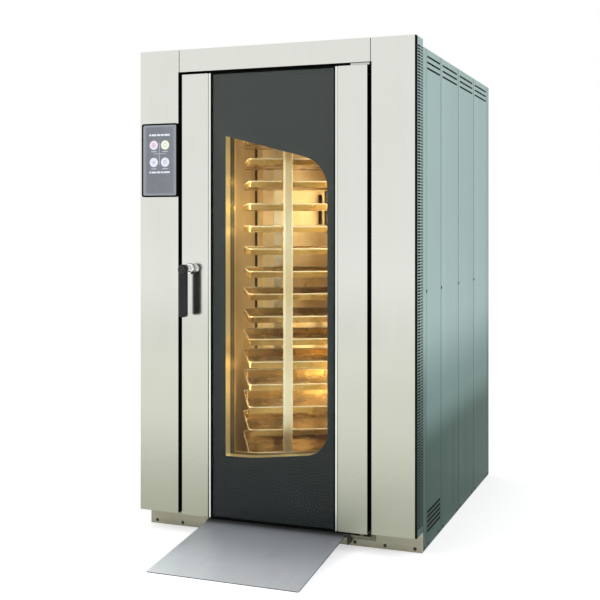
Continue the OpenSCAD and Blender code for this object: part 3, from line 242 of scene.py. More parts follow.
# Handling marks: soft cloudy patches where hands, steam and cloths have dulled a surface
handling_marks, marks_in, marks_out = new_group(
    "handling_marks",
    {"Size": (6.0, 6.0, 6.0), "Low": 0.45, "High": 0.75},
    {"Mask": "NodeSocketFloat"},
)
marks_noise = stretched_noise(handling_marks, marks_in.outputs["Size"], 4)
marks_low, marks_high = marks_in.outputs["Low"], marks_in.outputs["High"]
marks_cut = scaled(handling_marks, marks_noise, 0.0, 1.0, marks_low, marks_high, smooth=True)
handling_marks.links.new(marks_cut, marks_out.inputs["Mask"])

# Dust and flour: settles on faces that look up and on what is close to the floor
flour_dust, dust_in, dust_out = new_group(
    "flour_dust", {"Floor Reach": 0.12, "Amount": 0.5}, {"Mask": "NodeSocketFloat"}
)
dust_top = scaled(flour_dust, along(flour_dust, "Z", "Normal"), 0.0, 1.0, start=0.6)
dust_low = scaled(flour_dust, along(flour_dust, "Z"), 1.0, 0.0, end=dust_in.outputs["Floor Reach"])
dust_either = math_node(flour_dust, "MAXIMUM", dust_top, dust_low)
dust_patches = scaled(flour_dust, stretched_noise(flour_dust, (35.0, 35.0, 35.0), 5), 0.2, 1.6)
dust_patchy = math_node(flour_dust, "MULTIPLY", dust_either, dust_patches)
dust_amount = math_node(flour_dust, "MULTIPLY", dust_patchy, dust_in.outputs["Amount"])
dust_amount.node.use_clamp = True
flour_dust.links.new(dust_amount, dust_out.inputs["Mask"])


def place_group(tree, group, **values):
    """The group as a node of the tree, with its values set; words in a name are joined by _."""
    node = tree.nodes.new("ShaderNodeGroup")
    node.node_tree = group
    for label, value in values.items():
        node.inputs[label.replace("_", " ").title()].default_value = value
    return node


def new_material(name, **settings):
    """A node material and its tree and shader; settings are plain values for shader sockets."""
    material = bpy.data.materials.new(name)
    material.use_nodes = True
    shader = material.node_tree.nodes["Principled BSDF"]
    for label, value in settings.items():
        shader.inputs[label.replace("_", " ")].default_value = value
    return material, material.node_tree, shader


def rgb(red, green, blue):
    """A colour as seen on a screen, 0 to 255, as the linear colour that the shader takes."""
    parts = [value / 255 for value in (red, green, blue)]
    linear = [p / 12.92 if p <= 0.04045 else ((p + 0.055) / 1.055) ** 2.4 for p in parts]
    return (*linear, 1.0)


def add_bump(tree, shader, height, distance, strength=0.5):
    """Feeds a height through a Bump node to the shader's normal."""
    bump = tree.nodes.new("ShaderNodeBump")
    bump.inputs["Strength"].default_value = strength
    bump.inputs["Distance"].default_value = distance
    tree.links.new(height, bump.inputs["Height"])
    tree.links.new(bump.outputs[0], shader.inputs["Normal"])


def scale_colour(tree, colour, factor):
    """A colour, socket or written, times a grey factor socket."""
    combine = tree.nodes.new("ShaderNodeCombineColor")
    for channel in range(3):
        tree.links.new(factor, combine.inputs[channel])
    mix = tree.nodes.new("ShaderNodeMix")
    mix.data_type = "RGBA"
    mix.blend_type = "MULTIPLY"
    mix.inputs["Factor"].default_value = 1.0
    feed(tree, mix.inputs[6], colour)
    tree.links.new(combine.outputs[0], mix.inputs[7])
    return mix.outputs[2]


def finish_surface(tree, shader, colour, roughness, height=None, distance=0.0, strength=0.5):
    """Links the colour and roughness to the shader, and a height as bump where there is one."""
    tree.links.new(colour, shader.inputs["Base Color"])
    tree.links.new(roughness, shader.inputs["Roughness"])
    if height:
        add_bump(tree, shader, height, distance, strength)


def band_tone(tree, axis, start, end, stops):
    """A grey tone along one axis between start and end, from (place, tone) stops."""
    ramp = tree.nodes.new("ShaderNodeValToRGB")
    tree.links.new(scaled(tree, along(tree, axis), 0.0, 1.0, start, end), ramp.inputs[0])
    elements = ramp.color_ramp.elements
    elements.remove(elements[-1])
    brightest = 1.25
    for number, (spot, tone) in enumerate(stops):
        part = (spot - start) / (end - start)
        element = elements.new(part) if number else elements[0]
        element.position = part
        element.color = (*[tone / brightest] * 3, 1)
    return scaled(tree, ramp.outputs[0], 0.0, brightest)


def brushed_sheet(
    name, foot, middle, top, heights, rough, metal, fine, broad, contrast,
    dust=0.12, rim=(1.0, 1.0, 1.0, 1.0), bands=None, foot_haze=0.0,
):
    """Brushed sheet metal with streaks, marks and some dust, its colour painted by height as
    painted reflection and shade.

    The rim colour tints what the sheet mirrors at a flat angle. The bands are an axis, its start
    and end, and tone stops along it, such as painted shade in the seams of folded panels with a
    painted highlight beside them. The foot haze is how much duller the sheet is at its foot, where
    mops and trolleys scratch it.
    """
    material, tree, shader = new_material(name, Metallic=metal, Specular_Tint=rim)
    tone = place_group(
        tree, painted_height_shading, foot_colour=foot, middle_colour=middle, top_colour=top,
        foot_height=heights[0], middle_height=heights[1], top_height=heights[2],
    )
    grain = place_group(
        tree, brushed_grain, fine_stretch=fine, broad_stretch=broad, contrast=contrast
    )
    colour = scale_colour(tree, tone.outputs["Colour"], grain.outputs["Tone"])
    if bands:
        colour = scale_colour(tree, colour, band_tone(tree, *bands))
    marks = place_group(tree, handling_marks, size=(5.0, 5.0, 2.5), low=0.5, high=0.8)
    faint = scaled(tree, marks.outputs["Mask"], 0.0, 0.05)
    dulled = mix_colours(tree, faint, colour, rgb(120, 118, 108))
    dusty = place_group(tree, flour_dust, floor_reach=0.05, amount=dust)
    final = mix_colours(tree, dusty.outputs["Mask"], dulled, rgb(190, 184, 168))
    sheen = scaled(tree, grain.outputs["Roughness"], rough - 0.05, rough + 0.06)
    duller = math_node(tree, "MULTIPLY_ADD", tone.outputs["Foot Mask"], foot_haze, sheen)
    finish_surface(tree, shader, final, duller, grain.outputs["Height"], 0.00006, 0.35)
    return material


def painted_metal(name, colour, rough, fleck, dust=0.3, metal=0.0):
    """Paint or cast metal with a fine uneven skin, cloudy marks and dust on what looks up."""
    material, tree, shader = new_material(name, Metallic=metal)
    skin = stretched_noise(tree, (260.0, 260.0, 260.0), 4)
    lighter = tuple(min(1.0, c * 1.5 + 0.02) for c in colour[:3]) + (1.0,)
    speckled = mix_colours(tree, scaled(tree, skin, 0.0, fleck), colour, lighter)
    marks = place_group(tree, handling_marks, size=(14.0, 14.0, 14.0), low=0.5, high=0.8)
    darker = tuple(c * 0.6 for c in colour[:3]) + (1.0,)
    worn = mix_colours(tree, scaled(tree, marks.outputs["Mask"], 0.0, 0.5), speckled, darker)
    dusty = place_group(tree, flour_dust, floor_reach=0.08, amount=dust)
    final = mix_colours(tree, dusty.outputs["Mask"], worn, rgb(176, 168, 150))
    roughness = scaled(tree, skin, rough - 0.08, rough + 0.12)
    finish_surface(tree, shader, final, roughness, skin, 0.0003, 0.25)
    return material


def give(material, *nodes):
    """These CAD nodes get the material in their slot."""
    for name in nodes:
        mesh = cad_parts[name].data
        mesh.materials.clear()
        mesh.materials.append(material)


black_steel = painted_metal("structural_steel", rgb(34, 37, 36), 0.5, 0.15, dust=0.15)
give(black_steel, "base_frame", "front_frame", "ramp_hinge")

# Painted shade: the plinth is painted darker towards its foot, near the floor.
plinth_steel = brushed_sheet(
    "plinth_steel", foot=rgb(138, 136, 116), middle=rgb(150, 150, 130), top=rgb(166, 166, 146),
    heights=(0.0, 0.04, 0.1), rough=0.34, metal=0.8, fine=(5.0, 500.0, 500.0),
    broad=(1.5, 60.0, 60.0), contrast=0.22, dust=0.3,
)
give(plinth_steel, "plinth")


# ---- Front covers ----
# Two pillar covers and a header, folded from 3 mm stainless sheet with the brushed grain upright.
# They hang over the black frame. Black rubber strips line the opening round the door as painted
# shade in the gap.

# Painted reflection: the front is painted lighter at the top and darker and yellower at the foot,
# standing in for a bright room above and a darker floor below.
front_steel = brushed_sheet(
    "brushed_stainless", foot=rgb(160, 163, 146), middle=rgb(183, 186, 172),
    top=rgb(223, 224, 217), heights=(0.05, 0.6, 1.2), rough=0.14, metal=1.0,
    fine=(500.0, 500.0, 5.0), broad=(22.0, 22.0, 0.5), contrast=0.04, dust=0.04, foot_haze=0.26,
)
give(front_steel, "front_covers", "door_shell")


def mesh_piece(name, body, material, build):
    """A new piece: build(bm) fills its mesh; it rides on a body."""
    mesh = bpy.data.meshes.new(name)
    bm = bmesh.new()
    build(bm)
    bmesh.ops.recalc_face_normals(bm, faces=bm.faces)
    bm.to_mesh(mesh)
    bm.free()
    mesh.materials.append(material)
    piece = bpy.data.objects.new(name, mesh)
    scene.collection.objects.link(piece)
    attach(piece, body)
    return piece


def add_box(bm, low, high, edge=0.0):
    """A box between two corners, with its edges rounded by edge."""
    low, high = Vector(low), Vector(high)
    made = bmesh.ops.create_cube(bm, size=1.0)
    bmesh.ops.scale(bm, vec=high - low, verts=made["verts"])
    bmesh.ops.translate(bm, vec=(low + high) / 2, verts=made["verts"])
    if edge:
        edges = {e for v in made["verts"] for e in v.link_edges}
        bmesh.ops.bevel(bm, geom=list(edges), offset=edge, segments=2, affect="EDGES", profile=0.5)


def side_box(bm, side, x, y, z, edge=0.0):
    """A box on the right, or mirrored on the left where side is -1; x is as on the right."""
    left, right = sorted([side * x[0], side * x[1]])
    add_box(bm, (left, y[0], z[0]), (right, y[1], z[1]), edge)


# Black rubber for the door gasket; the same black also serves the strips, seals, fleece, edges and
# rings below that are painted shade and painted dark reflections.
rubber, rubber_tree, rubber_shader = new_material("black_rubber", Specular_IOR_Level=0.03)
rubber_skin = stretched_noise(rubber_tree, (300.0, 300.0, 60.0), 3)
rubber_colour = mix_colours(rubber_tree, rubber_skin, rgb(5, 7, 7), rgb(15, 18, 18))
rubber_rough = scaled(rubber_tree, rubber_skin, 0.55, 0.8)
finish_surface(rubber_tree, rubber_shader, rubber_colour, rubber_rough, rubber_skin, 0.0003, 0.4)

covers_low, covers_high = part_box("front_covers")
door_low, door_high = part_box("door_shell")
strip_t = 0.001
rubber_edge = 0.0003
lip_w = 0.003
lip_proud = 0.0006
strip_foot = 0.09
opening_x = door_high.x + 0.016
opening_z = door_high.z + 0.012
opening_d = 0.073


def opening_shade_strips(bm):
    """Black strips inside the opening, with a lip over the front of each pillar: painted shade in
    the gap round the door.
    """
    front = covers_low.y + 0.002
    back = covers_low.y + opening_d
    half = opening_x - strip_t
    upright = (strip_foot, opening_z)
    lip_y = (covers_low.y - lip_proud, front + 0.001)
    for side in (-1, 1):
        side_box(bm, side, (opening_x, half), (front, back), upright, rubber_edge)
        side_box(bm, side, (half, opening_x + lip_w), lip_y, upright, rubber_edge)
    add_box(bm, (-half, front, opening_z - strip_t), (half, back, opening_z), rubber_edge)


mesh_piece("opening_shade_strips", "oven", rubber, opening_shade_strips)


# ---- Vent strips ----
# The corner strips behind the pillars let out warm air: thin sheet steel, punched with a column of
# long slots and a column of short ones. Both upright edges are folded in and hooked on the frame.
# Black fleece behind the slots and a black seal between pillar cover and strip are painted shade.

case_finish = {
    "rough": 0.3, "metal": 0.75, "fine": (420.0, 420.0, 5.0), "broad": (16.0, 16.0, 0.4),
    "contrast": 0.1, "dust": 0.08, "rim": (0.4, 0.46, 0.44, 1.0),
}
# Painted reflection: the case sheet is painted pale teal at the top and dark teal at the foot,
# standing in for a bright room above and a darker floor below.
case_steel = brushed_sheet(
    "case_sheet", foot=rgb(66, 88, 80), middle=rgb(104, 126, 120), top=rgb(190, 213, 211),
    heights=(0.40, 0.60, 1.00), **case_finish,
)
vent_low, vent_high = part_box("vent_strips")
slot_pitch = 0.0122
slot_h = 0.0078
slot_rows = 164
first_slot = 0.031
long_slot = (0.006, 0.053)
short_slot = (0.062, 0.086)
vent_sheet = 0.0012
vent_fold = 0.0115
fleece_gap = 0.0002
fleece_depth = 0.0032
fleece_inset = 0.0014
seal_proud = 0.0006
seal_lap = 0.0062


def punched_strip(bm, side):
    """One side's strip: a sheet with two columns of slots, and its two folded edges."""
    cuts = [0.0, *long_slot, *short_slot, vent_high.y - vent_low.y]
    heights = [0.0]
    for row in range(slot_rows):
        heights += [first_slot + row * slot_pitch, first_slot + row * slot_pitch + slot_h]
    heights.append(vent_high.z - vent_low.z)
    inner = vent_high.x - vent_sheet
    grid = [
        [[bm.verts.new((side * x, vent_low.y + y, vent_low.z + z)) for y in cuts] for z in heights]
        for x in (vent_high.x, inner)
    ]
    last = len(heights) - 1

    def wall(row, column, next_row, next_column):
        """A face through the sheet's thickness, along one edge of the grid."""
        bm.faces.new([
            grid[0][row][column], grid[0][next_row][next_column],
            grid[1][next_row][next_column], grid[1][row][column],
        ])

    for row in range(last):
        for column in range(len(cuts) - 1):
            corners = [(row, column), (row, column + 1), (row + 1, column + 1), (row + 1, column)]
            if row % 2 == 1 and column in (1, 3):
                for k in range(4):
                    wall(*corners[k], *corners[(k + 1) % 4])
            else:
                for layer in grid:
                    bm.faces.new([layer[r][c] for r, c in corners])
    # Folded edges, and the sheet's cut edges above and below
    for y in (vent_low.y, vent_high.y - vent_sheet):
        folded_x = (inner, inner - vent_fold)
        side_box(bm, side, folded_x, (y, y + vent_sheet), (vent_low.z, vent_high.z))
    for row in (0, last):
        for column in range(len(cuts) - 1):
            wall(row, column, row, column + 1)
    for column in (0, len(cuts) - 1):
        for row in range(last):
            wall(row, column, row + 1, column)


def both_strips(bm):
    """The strips of both front corners."""
    for side in (-1, 1):
        punched_strip(bm, side)


vent_piece = mesh_piece("punched_vent_strips", "oven", case_steel, both_strips)
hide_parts("vent_strips")


def vent_shade_seals(bm):
    """Black fleece behind the slots, and a black seal between pillar cover and strip: painted
    shade.
    """
    fleece_x = (vent_high.x - vent_sheet - fleece_gap, vent_high.x - fleece_depth)
    fleece_y = (vent_low.y + fleece_inset, vent_high.y - fleece_inset)
    seal_face = vent_high.x + seal_proud
    seal_x = (seal_face, vent_high.x - vent_fold)
    seal_y = (covers_low.y + 0.0035, vent_low.y - 0.0002)
    upright = (vent_low.z, vent_high.z)
    for side in (-1, 1):
        side_box(bm, side, fleece_x, fleece_y, upright, 0.0002)
        side_box(bm, side, seal_x, seal_y, upright, 0.0005)
    # The right-hand seal also wraps the cover's edge
    add_box(
        bm,
        (vent_high.x - seal_lap, covers_low.y - lip_proud, covers_low.z + 0.001),
        (seal_face, covers_low.y + 0.004, covers_high.z - 0.001),
        0.0004,
    )


mesh_piece("vent_shade_seals", "oven", rubber, vent_shade_seals)


# ---- Outer panels ----
# Side, rear and corner panels are folded from brushed sheet and hooked on the frame with a thin
# seam between them. Black fleece in the slots of the side panels is painted shade. The roof is one
# flat sheet under the roof drive.

def islands(node):
    """The lowest and highest corner of each separate solid of a CAD node."""
    bm = bmesh.new()
    bm.from_mesh(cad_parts[node].data)
    bmesh.ops.remove_doubles(bm, verts=bm.verts, dist=1e-6)
    left = set(bm.verts)
    found = []
    while left:
        stack = [left.pop()]
        group = list(stack)
        while stack:
            for edge in stack.pop().link_edges:
                for vert in edge.verts:
                    if vert in left:
                        left.remove(vert)
                        stack.append(vert)
                        group.append(vert)
        low = Vector([min(v.co[k] for v in group) for k in range(3)])
        high = Vector([max(v.co[k] for v in group) for k in range(3)])
        found.append((low, high))
    bm.free()
    return sorted(found, key=lambda box: tuple(box[0]))


give(case_steel, "corner_strips")

panel_boxes = sorted(islands("side_panels_right"), key=lambda box: box[0].y)
panel_seams = [box[0].y for box in panel_boxes] + [panel_boxes[-1][1].y]
# Painted shade: each seam between the side panels is painted dark, with a painted highlight strip
# behind it, and both ends of the row are painted darker too.
seam_shade = 0.55
seam_shading_stops = [(panel_seams[0], 0.6), (panel_seams[0] + 0.003, 1.0)]
for seam in panel_seams[1:-1]:
    seam_shading_stops += [(seam - 0.006, 1.0), (seam - 0.003, seam_shade)]
    seam_shading_stops += [(seam + 0.004, seam_shade), (seam + 0.007, 1.06)]
seam_shading_stops += [(panel_seams[-1] - 0.003, 1.0), (panel_seams[-1], 0.6)]
panel_steel = brushed_sheet(
    "panel_sheet", foot=rgb(48, 77, 68), middle=rgb(124, 152, 149), top=rgb(190, 213, 211),
    heights=(0.40, 0.60, 1.00), bands=("Y", panel_seams[0], panel_seams[-1], seam_shading_stops),
    **case_finish,
)
give(panel_steel, "side_panels_right")
# The rear and left panels carry the same painted reflection, but gentler.
rear_steel = brushed_sheet(
    "rear_sheet", foot=rgb(104, 124, 118), middle=rgb(134, 154, 150), top=rgb(190, 213, 211),
    heights=(0.1, 0.8, 1.6), **case_finish,
)
give(rear_steel, "side_panels_left", "rear_panels")
roof_steel = brushed_sheet(
    "roof_sheet", foot=rgb(150, 158, 154), middle=rgb(158, 166, 162), top=rgb(168, 175, 171),
    heights=(2.0, 2.08, 2.15), rough=0.42, metal=0.7, fine=(420.0, 5.0, 420.0),
    broad=(16.0, 0.4, 16.0), contrast=0.1, dust=0.35,
)
give(roof_steel, "roof_panel")

louvre_h = 0.009
louvre_foot = 0.065
louvre_step = 0.020
top_slot_h = 0.006
top_slot_drop = 0.031
top_slot_step = 0.025
first_panel_edge = 0.018
wide_panel_edge = 0.030
fleece_lap = 0.0012


def slot_shade_fleece(bm):
    """Black fleece set in each slot of the side panels, its rim lapped round the slot's edge:
    painted shade that makes each slot read dark.
    """
    for node, side in (("side_panels_left", -1), ("side_panels_right", 1)):
        boxes = sorted(islands(node), key=lambda box: box[0].y)
        for number, (low, high) in enumerate(boxes):
            edge = wide_panel_edge if number else first_panel_edge
            top_foot = high.z - top_slot_drop - top_slot_h / 2
            spans = [(top_foot - k * top_slot_step, top_slot_h) for k in range(3)]
            if number == 0:
                spans += [(louvre_foot + k * louvre_step, louvre_h) for k in range(5)]
            face = max(abs(low.x), abs(high.x))
            x = (face + 0.0004, face - 0.001)
            y = (low.y + edge - fleece_lap, high.y - edge + fleece_lap)
            for foot, height in spans:
                z = (foot - fleece_lap, foot + height + fleece_lap)
                side_box(bm, side, x, y, z, rubber_edge)


mesh_piece("slot_shade_fleece", "oven", rubber, slot_shade_fleece)


# ---- Case screws ----
# Pan-head steel screws with a cross recess and black washers hold the plinth, the panel feet and
# the middles of the side and rear panels.

def lathe(bm, profile, turn, sides=32):
    """Turns a profile of (radius, height) points about Z, then places it with the matrix turn."""
    rings = []
    for radius, height in profile:
        spots = []
        for k in range(sides if radius else 1):
            angle = 2 * math.pi * k / sides
            spots.append(Vector((radius * math.cos(angle), radius * math.sin(angle), height)))
        rings.append([bm.verts.new(turn @ spot) for spot in spots])
    for lower, upper in zip(rings, rings[1:]):
        for k in range(sides):
            j = (k + 1) % sides
            around = [(lower, k), (lower, j), (upper, j), (upper, k)]
            corners = list(dict.fromkeys(ring[i % len(ring)] for ring, i in around))
            if len(corners) > 2:
                bm.faces.new(corners)
    for ring in (rings[0], rings[-1]):
        if len(ring) > 2:
            bm.faces.new(ring)


screw_head_r = 0.005
screw_head_h = 0.002
screw_profile = [
    (screw_head_r, 0.0),
    (screw_head_r, 0.0008),
    (screw_head_r * 0.86, 0.0015),
    (screw_head_r * 0.6, screw_head_h),
]
recess_half = 0.0005
recess_floor = 0.0009
washer_r = 0.0072
washer_t = 0.0008


def screw_head(bm, turn):
    """One head: a domed ring whose flat top is closed by four pads that leave a cross recess."""
    inside = [(screw_head_r * 0.58, screw_head_h), (screw_head_r * 0.55, recess_floor)]
    lathe(bm, [*screw_profile, *inside], turn, 20)
    pad = screw_head_r * 0.56 * 0.72
    for x in (-1, 1):
        for y in (-1, 1):
            made = bmesh.ops.create_cube(bm, size=1.0)
            size = (pad - recess_half, pad - recess_half, screw_head_h - recess_floor)
            bmesh.ops.scale(bm, vec=size, verts=made["verts"])
            middle = (pad + recess_half) / 2
            centre = (x * middle, y * middle, (screw_head_h + recess_floor) / 2)
            bmesh.ops.translate(bm, vec=centre, verts=made["verts"])
            bmesh.ops.transform(bm, matrix=turn, verts=made["verts"])


def facing(place, direction):
    """A matrix that stands Z along a direction at a place."""
    turn = Vector(direction).to_track_quat("Z", "Y")
    return Matrix.Translation(place) @ turn.to_matrix().to_4x4()


def each_screw(bm, fasten):
    """Calls fasten at the place of every screw of the case, facing out of its panel."""
    for low, high in islands("case_screws"):
        size = high - low
        axis = min(range(3), key=lambda k: size[k])
        centre = (low + high) / 2
        direction = Vector((0, 0, 0))
        side = 0 if axis == 0 else 1
        direction[side] = 1 if centre[side] > 0 else -1
        fasten(bm, facing(centre - direction * size[axis] / 2, direction))


def screw_washer(bm, turn):
    """A black washer round one head."""
    outside = [(washer_r, 0.0), (washer_r, washer_t / 2), (washer_r - 0.0006, washer_t)]
    inside = [(screw_head_r, washer_t), (screw_head_r, 0.0)]
    lathe(bm, [inside[1], *outside, *inside], turn, 20)


screw_steel = painted_metal("screw_steel", rgb(40, 40, 36), 0.35, 0.4, dust=0.1, metal=0.6)
screw_piece = mesh_piece(
    "cross_head_screws", "oven", screw_steel, lambda bm: each_screw(bm, screw_head)
)
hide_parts("case_screws")
mesh_piece(
    "screw_washers", "oven", rubber, lambda bm: each_screw(bm, screw_washer)
)


# ---- Chamber ----
# The baking chamber is lined with 2 mm stainless sheet that heat has tinted straw yellow. Lamps
# behind glass at the front inner wall light it, and slots in the side walls blow the air in; black
# plates behind the slots are painted shade.

def heat_tinted(name, pale, deep, rough, metal, stretch, dust=0.0, bands=None):
    """Stainless sheet tinted by heat: straw and bronze clouds under a fine grain. Bands, where
    given, paint light and shade along one axis.
    """
    material, tree, shader = new_material(name, Metallic=metal)
    clouds = place_group(tree, handling_marks, size=(3.0, 3.0, 2.0), low=0.35, high=0.7)
    tint = mix_colours(tree, clouds.outputs["Mask"], pale, deep)
    grain = place_group(
        tree, brushed_grain, fine_stretch=stretch, broad_stretch=(9.0, 9.0, 3.0), contrast=0.16
    )
    grained = scale_colour(tree, tint, grain.outputs["Tone"])
    dusty = place_group(tree, flour_dust, floor_reach=0.08, amount=dust)
    final = mix_colours(tree, dusty.outputs["Mask"], grained, rgb(196, 170, 120))
    if bands:
        final = scale_colour(tree, final, band_tone(tree, *bands))
    sheen = scaled(tree, grain.outputs["Roughness"], rough - 0.07, rough + 0.1)
    finish_surface(tree, shader, final, sheen, grain.outputs["Height"], 0.0001, 0.3)
    return material


chamber_steel = heat_tinted(
    "chamber_steel", rgb(246, 228, 182), rgb(198, 168, 118), 0.3, 0.7, (300.0, 300.0, 12.0)
)
floor_steel = heat_tinted(
    "floor_steel", rgb(190, 172, 130), rgb(142, 118, 78), 0.42, 0.8, (300.0, 12.0, 300.0), 0.4
)
give(chamber_steel, "chamber_walls", "chamber_ceiling", "fan_baffle", "door_plug")
give(floor_steel, "turntable", "rear_walls")
# Painted shade: the front edge of the chamber floor, under the door, is painted nearly black.
sill_low, sill_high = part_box("chamber_floor")
sill_shade_stops = [(sill_low.y, 0.04), (sill_low.y + 0.05, 0.06), (sill_low.y + 0.12, 1.0)]
shaded_sill_steel = heat_tinted(
    "shaded_sill_steel", rgb(190, 172, 130), rgb(142, 118, 78), 0.42, 0.8, (300.0, 12.0, 300.0), 0.4,
    bands=("Y", sill_low.y, sill_high.y, sill_shade_stops),
)
give(shaded_sill_steel, "chamber_floor")

# Painted light and shade: the window lining is painted in bands through the door's depth, bright
# near the outer glass, a dark shaded band in the middle and a bright line near the inner glass.
tunnel_low, tunnel_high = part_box("window_reveal")
tunnel_light_and_shade = [
    (0.0, 1.25), (0.046, 1.2), (0.052, 0.16), (0.074, 0.3), (0.092, 0.14), (0.097, 1.2),
    (0.104, 1.0),
]
tunnel_shading_stops = [(tunnel_low.y + depth, tone) for depth, tone in tunnel_light_and_shade]
tunnel_steel = heat_tinted(
    "tunnel_steel", rgb(255, 244, 208), rgb(240, 214, 162), 0.4, 0.9, (300.0, 300.0, 12.0),
    bands=("Y", tunnel_low.y, tunnel_high.y, tunnel_shading_stops),
)
give(tunnel_steel, "window_reveal")

duct_shade_black = painted_metal("duct_shade_black", rgb(12, 11, 10), 0.6, 0.1, dust=0.0)
outlet_y = (0.372, 0.428)
outlet_z = (0.196, 1.904)
shade_x = (0.5035, 0.5050)


def outlet_shadow_plates(bm):
    """Black plates in the ducts, close behind the air outlet slots: painted shade that makes the
    slots read dark.
    """
    for side in (-1, 1):
        side_box(bm, side, shade_x, outlet_y, outlet_z, 0.0003)


mesh_piece("outlet_shadow_plates", "oven", duct_shade_black, outlet_shadow_plates)
give(front_steel, "door_jamb")

# Painted shade: the wool is made near black so that the slots of the case read dark.
wool, wool_tree, wool_shader = new_material("mineral_wool", Roughness=0.95, Specular_IOR_Level=0.1)
wool_fibres = stretched_noise(wool_tree, (60.0, 60.0, 400.0), 8)
wool_colour = mix_colours(wool_tree, wool_fibres, rgb(10, 10, 9), rgb(34, 32, 27))
wool_tree.links.new(wool_colour, wool_shader.inputs["Base Color"])
add_bump(wool_tree, wool_shader, wool_fibres, 0.004, 0.8)
give(wool, "insulation", "door_insulation")


# ---- Lamps ----
# Four halogen lamps sit in pressed steel housings at both sides of the doorway, behind flat
# heat-proof glass. They light the trolley from the front.

lamp_steel = painted_metal("lamp_steel", rgb(150, 142, 122), 0.4, 0.3, dust=0.0, metal=0.7)
give(lamp_steel, "lamp_housings")
lamp_glass, lamp_tree, lamp_shader = new_material("lamp_glass", Roughness=0.4)
lamp_ribs = stretched_noise(lamp_tree, (40.0, 40.0, 260.0), 2)
lamp_colour = mix_colours(lamp_tree, lamp_ribs, rgb(255, 214, 140), rgb(255, 240, 196))
lamp_tree.links.new(lamp_colour, lamp_shader.inputs["Base Color"])
lamp_tree.links.new(lamp_colour, lamp_shader.inputs["Emission Color"])
lamp_shader.inputs["Emission Strength"].default_value = 7.0
add_bump(lamp_tree, lamp_shader, lamp_ribs, 0.001, 0.6)
give(lamp_glass, "lamp_glasses")

lamp_light = (1.0, 0.92, 0.73)
lamp_watts = 2.4
lamp_gap = 0.03
for low, high in islands("lamp_glasses"):
    middle = (low + high) / 2
    place = (middle.x, high.y + lamp_gap, middle.z)
    aim = (-middle.x * 0.4, 0.25, middle.z)
    size = (high.x - low.x, high.z - low.z)
    lamp = soft_box("chamber_lamp", place, aim, size, lamp_watts, lamp_light)
    lamp.visible_glossy = True
# Two long, low lights beside the doorway stand for the light that the bright lining throws back
glow_y = -0.468
glow_size = (0.05, 1.7)
left_glow = ((-0.34, glow_y, 1.1), (-0.42, 0.0, 1.05), 16.0)
right_glow = ((0.38, glow_y, 1.1), (-0.1, 0.0, 1.05), 7.5)
for place, aim, watts in (left_glow, right_glow):
    soft_box("chamber_glow", place, aim, glow_size, watts, lamp_light)


# ---- Heaters, fan and its motor ----
# Bare steel hairpin heaters stand at both sides of a folded-blade fan wheel in the plenum. The
# finned cast motor is bolted to the machine wall behind them.

heater_tube = heat_tinted(
    "heater_tube", rgb(120, 104, 92), rgb(78, 66, 60), 0.5, 0.6, (200.0, 200.0, 30.0)
)
give(heater_tube, "heater_bank")
fan_steel = heat_tinted(
    "fan_steel", rgb(190, 184, 170), rgb(150, 138, 114), 0.38, 0.85, (160.0, 160.0, 160.0)
)
give(fan_steel, "fan_impeller")
motor_paint = painted_metal("motor_paint", rgb(70, 96, 118), 0.45, 0.3, dust=0.45)
give(motor_paint, "fan_motor", "gear_motor")


# ---- Roof drive, bearings and services ----
# A geared motor turns the trolley's shaft through a pinion and a large gear on the roof. The flue
# with its damper, the water valve and the cable gland complete the services.

machined = heat_tinted(
    "machined_steel", rgb(178, 180, 178), rgb(140, 142, 140), 0.32, 0.9, (220.0, 220.0, 220.0)
)
give(machined, "turntable_bearing", "drive_bearing", "drive_gear", "drive_pinion")
give(machined, "latch_keeper", "latch_cam")
flue_steel = brushed_sheet(
    "flue_steel", foot=rgb(176, 180, 178), middle=rgb(186, 190, 188), top=rgb(150, 140, 120),
    heights=(2.03, 2.15, 2.28), rough=0.34, metal=0.85, fine=(260.0, 260.0, 40.0),
    broad=(30.0, 30.0, 6.0), contrast=0.2, dust=0.3,
)
give(flue_steel, "exhaust_flue")
damper_steel = heat_tinted(
    "damper_steel", rgb(196, 150, 90), rgb(140, 96, 52), 0.42, 0.8, (120.0, 120.0, 120.0)
)
give(damper_steel, "damper_flap")
brass = heat_tinted(
    "valve_brass", rgb(204, 164, 92), rgb(160, 118, 56), 0.34, 0.95, (140.0, 140.0, 140.0)
)
give(brass, "water_inlet")
gland_plastic = painted_metal("gland_plastic", rgb(38, 40, 41), 0.55, 0.2, dust=0.2)
give(gland_plastic, "cable_gland")


# ---- Control panel ----
# A flat touch panel on the left pillar: a black moulded frame with round corners round a grey
# glass screen. It shows four round touch fields, fine crossing lines and two rows of plain bars.

panel_plastic, panel_tree, panel_shader = new_material("panel_plastic", Specular_IOR_Level=0.05)
panel_grain = stretched_noise(panel_tree, (700.0, 700.0, 700.0), 3)
panel_colour = mix_colours(panel_tree, panel_grain, rgb(5, 5, 6), rgb(13, 13, 14))
panel_rough = scaled(panel_tree, panel_grain, 0.35, 0.5)
finish_surface(panel_tree, panel_shader, panel_colour, panel_rough, panel_grain, 0.00015, 0.3)
give(panel_plastic, "control_housing")

screen_low, screen_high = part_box("control_screen")
screen_mid = (screen_low + screen_high) / 2
screen, screen_tree, screen_shader = new_material(
    "screen_glass", Coat_Weight=0.35, Coat_Roughness=0.04
)


def screen_edge(axis, middle, half, band):
    """1 at the screen's rim along one axis, 0 inside a band from it."""
    centred = math_node(screen_tree, "SUBTRACT", along(screen_tree, axis), middle)
    distance = math_node(screen_tree, "ABSOLUTE", centred)
    return scaled(screen_tree, distance, 0.0, 1.0, half - band, half, smooth=True)


screen_half = (screen_high - screen_low) / 2
side_band = 0.022
end_band = 0.014
side_glow = screen_edge("X", screen_mid.x, screen_half.x, side_band)
end_glow = screen_edge("Z", screen_mid.z, screen_half.z, end_band)
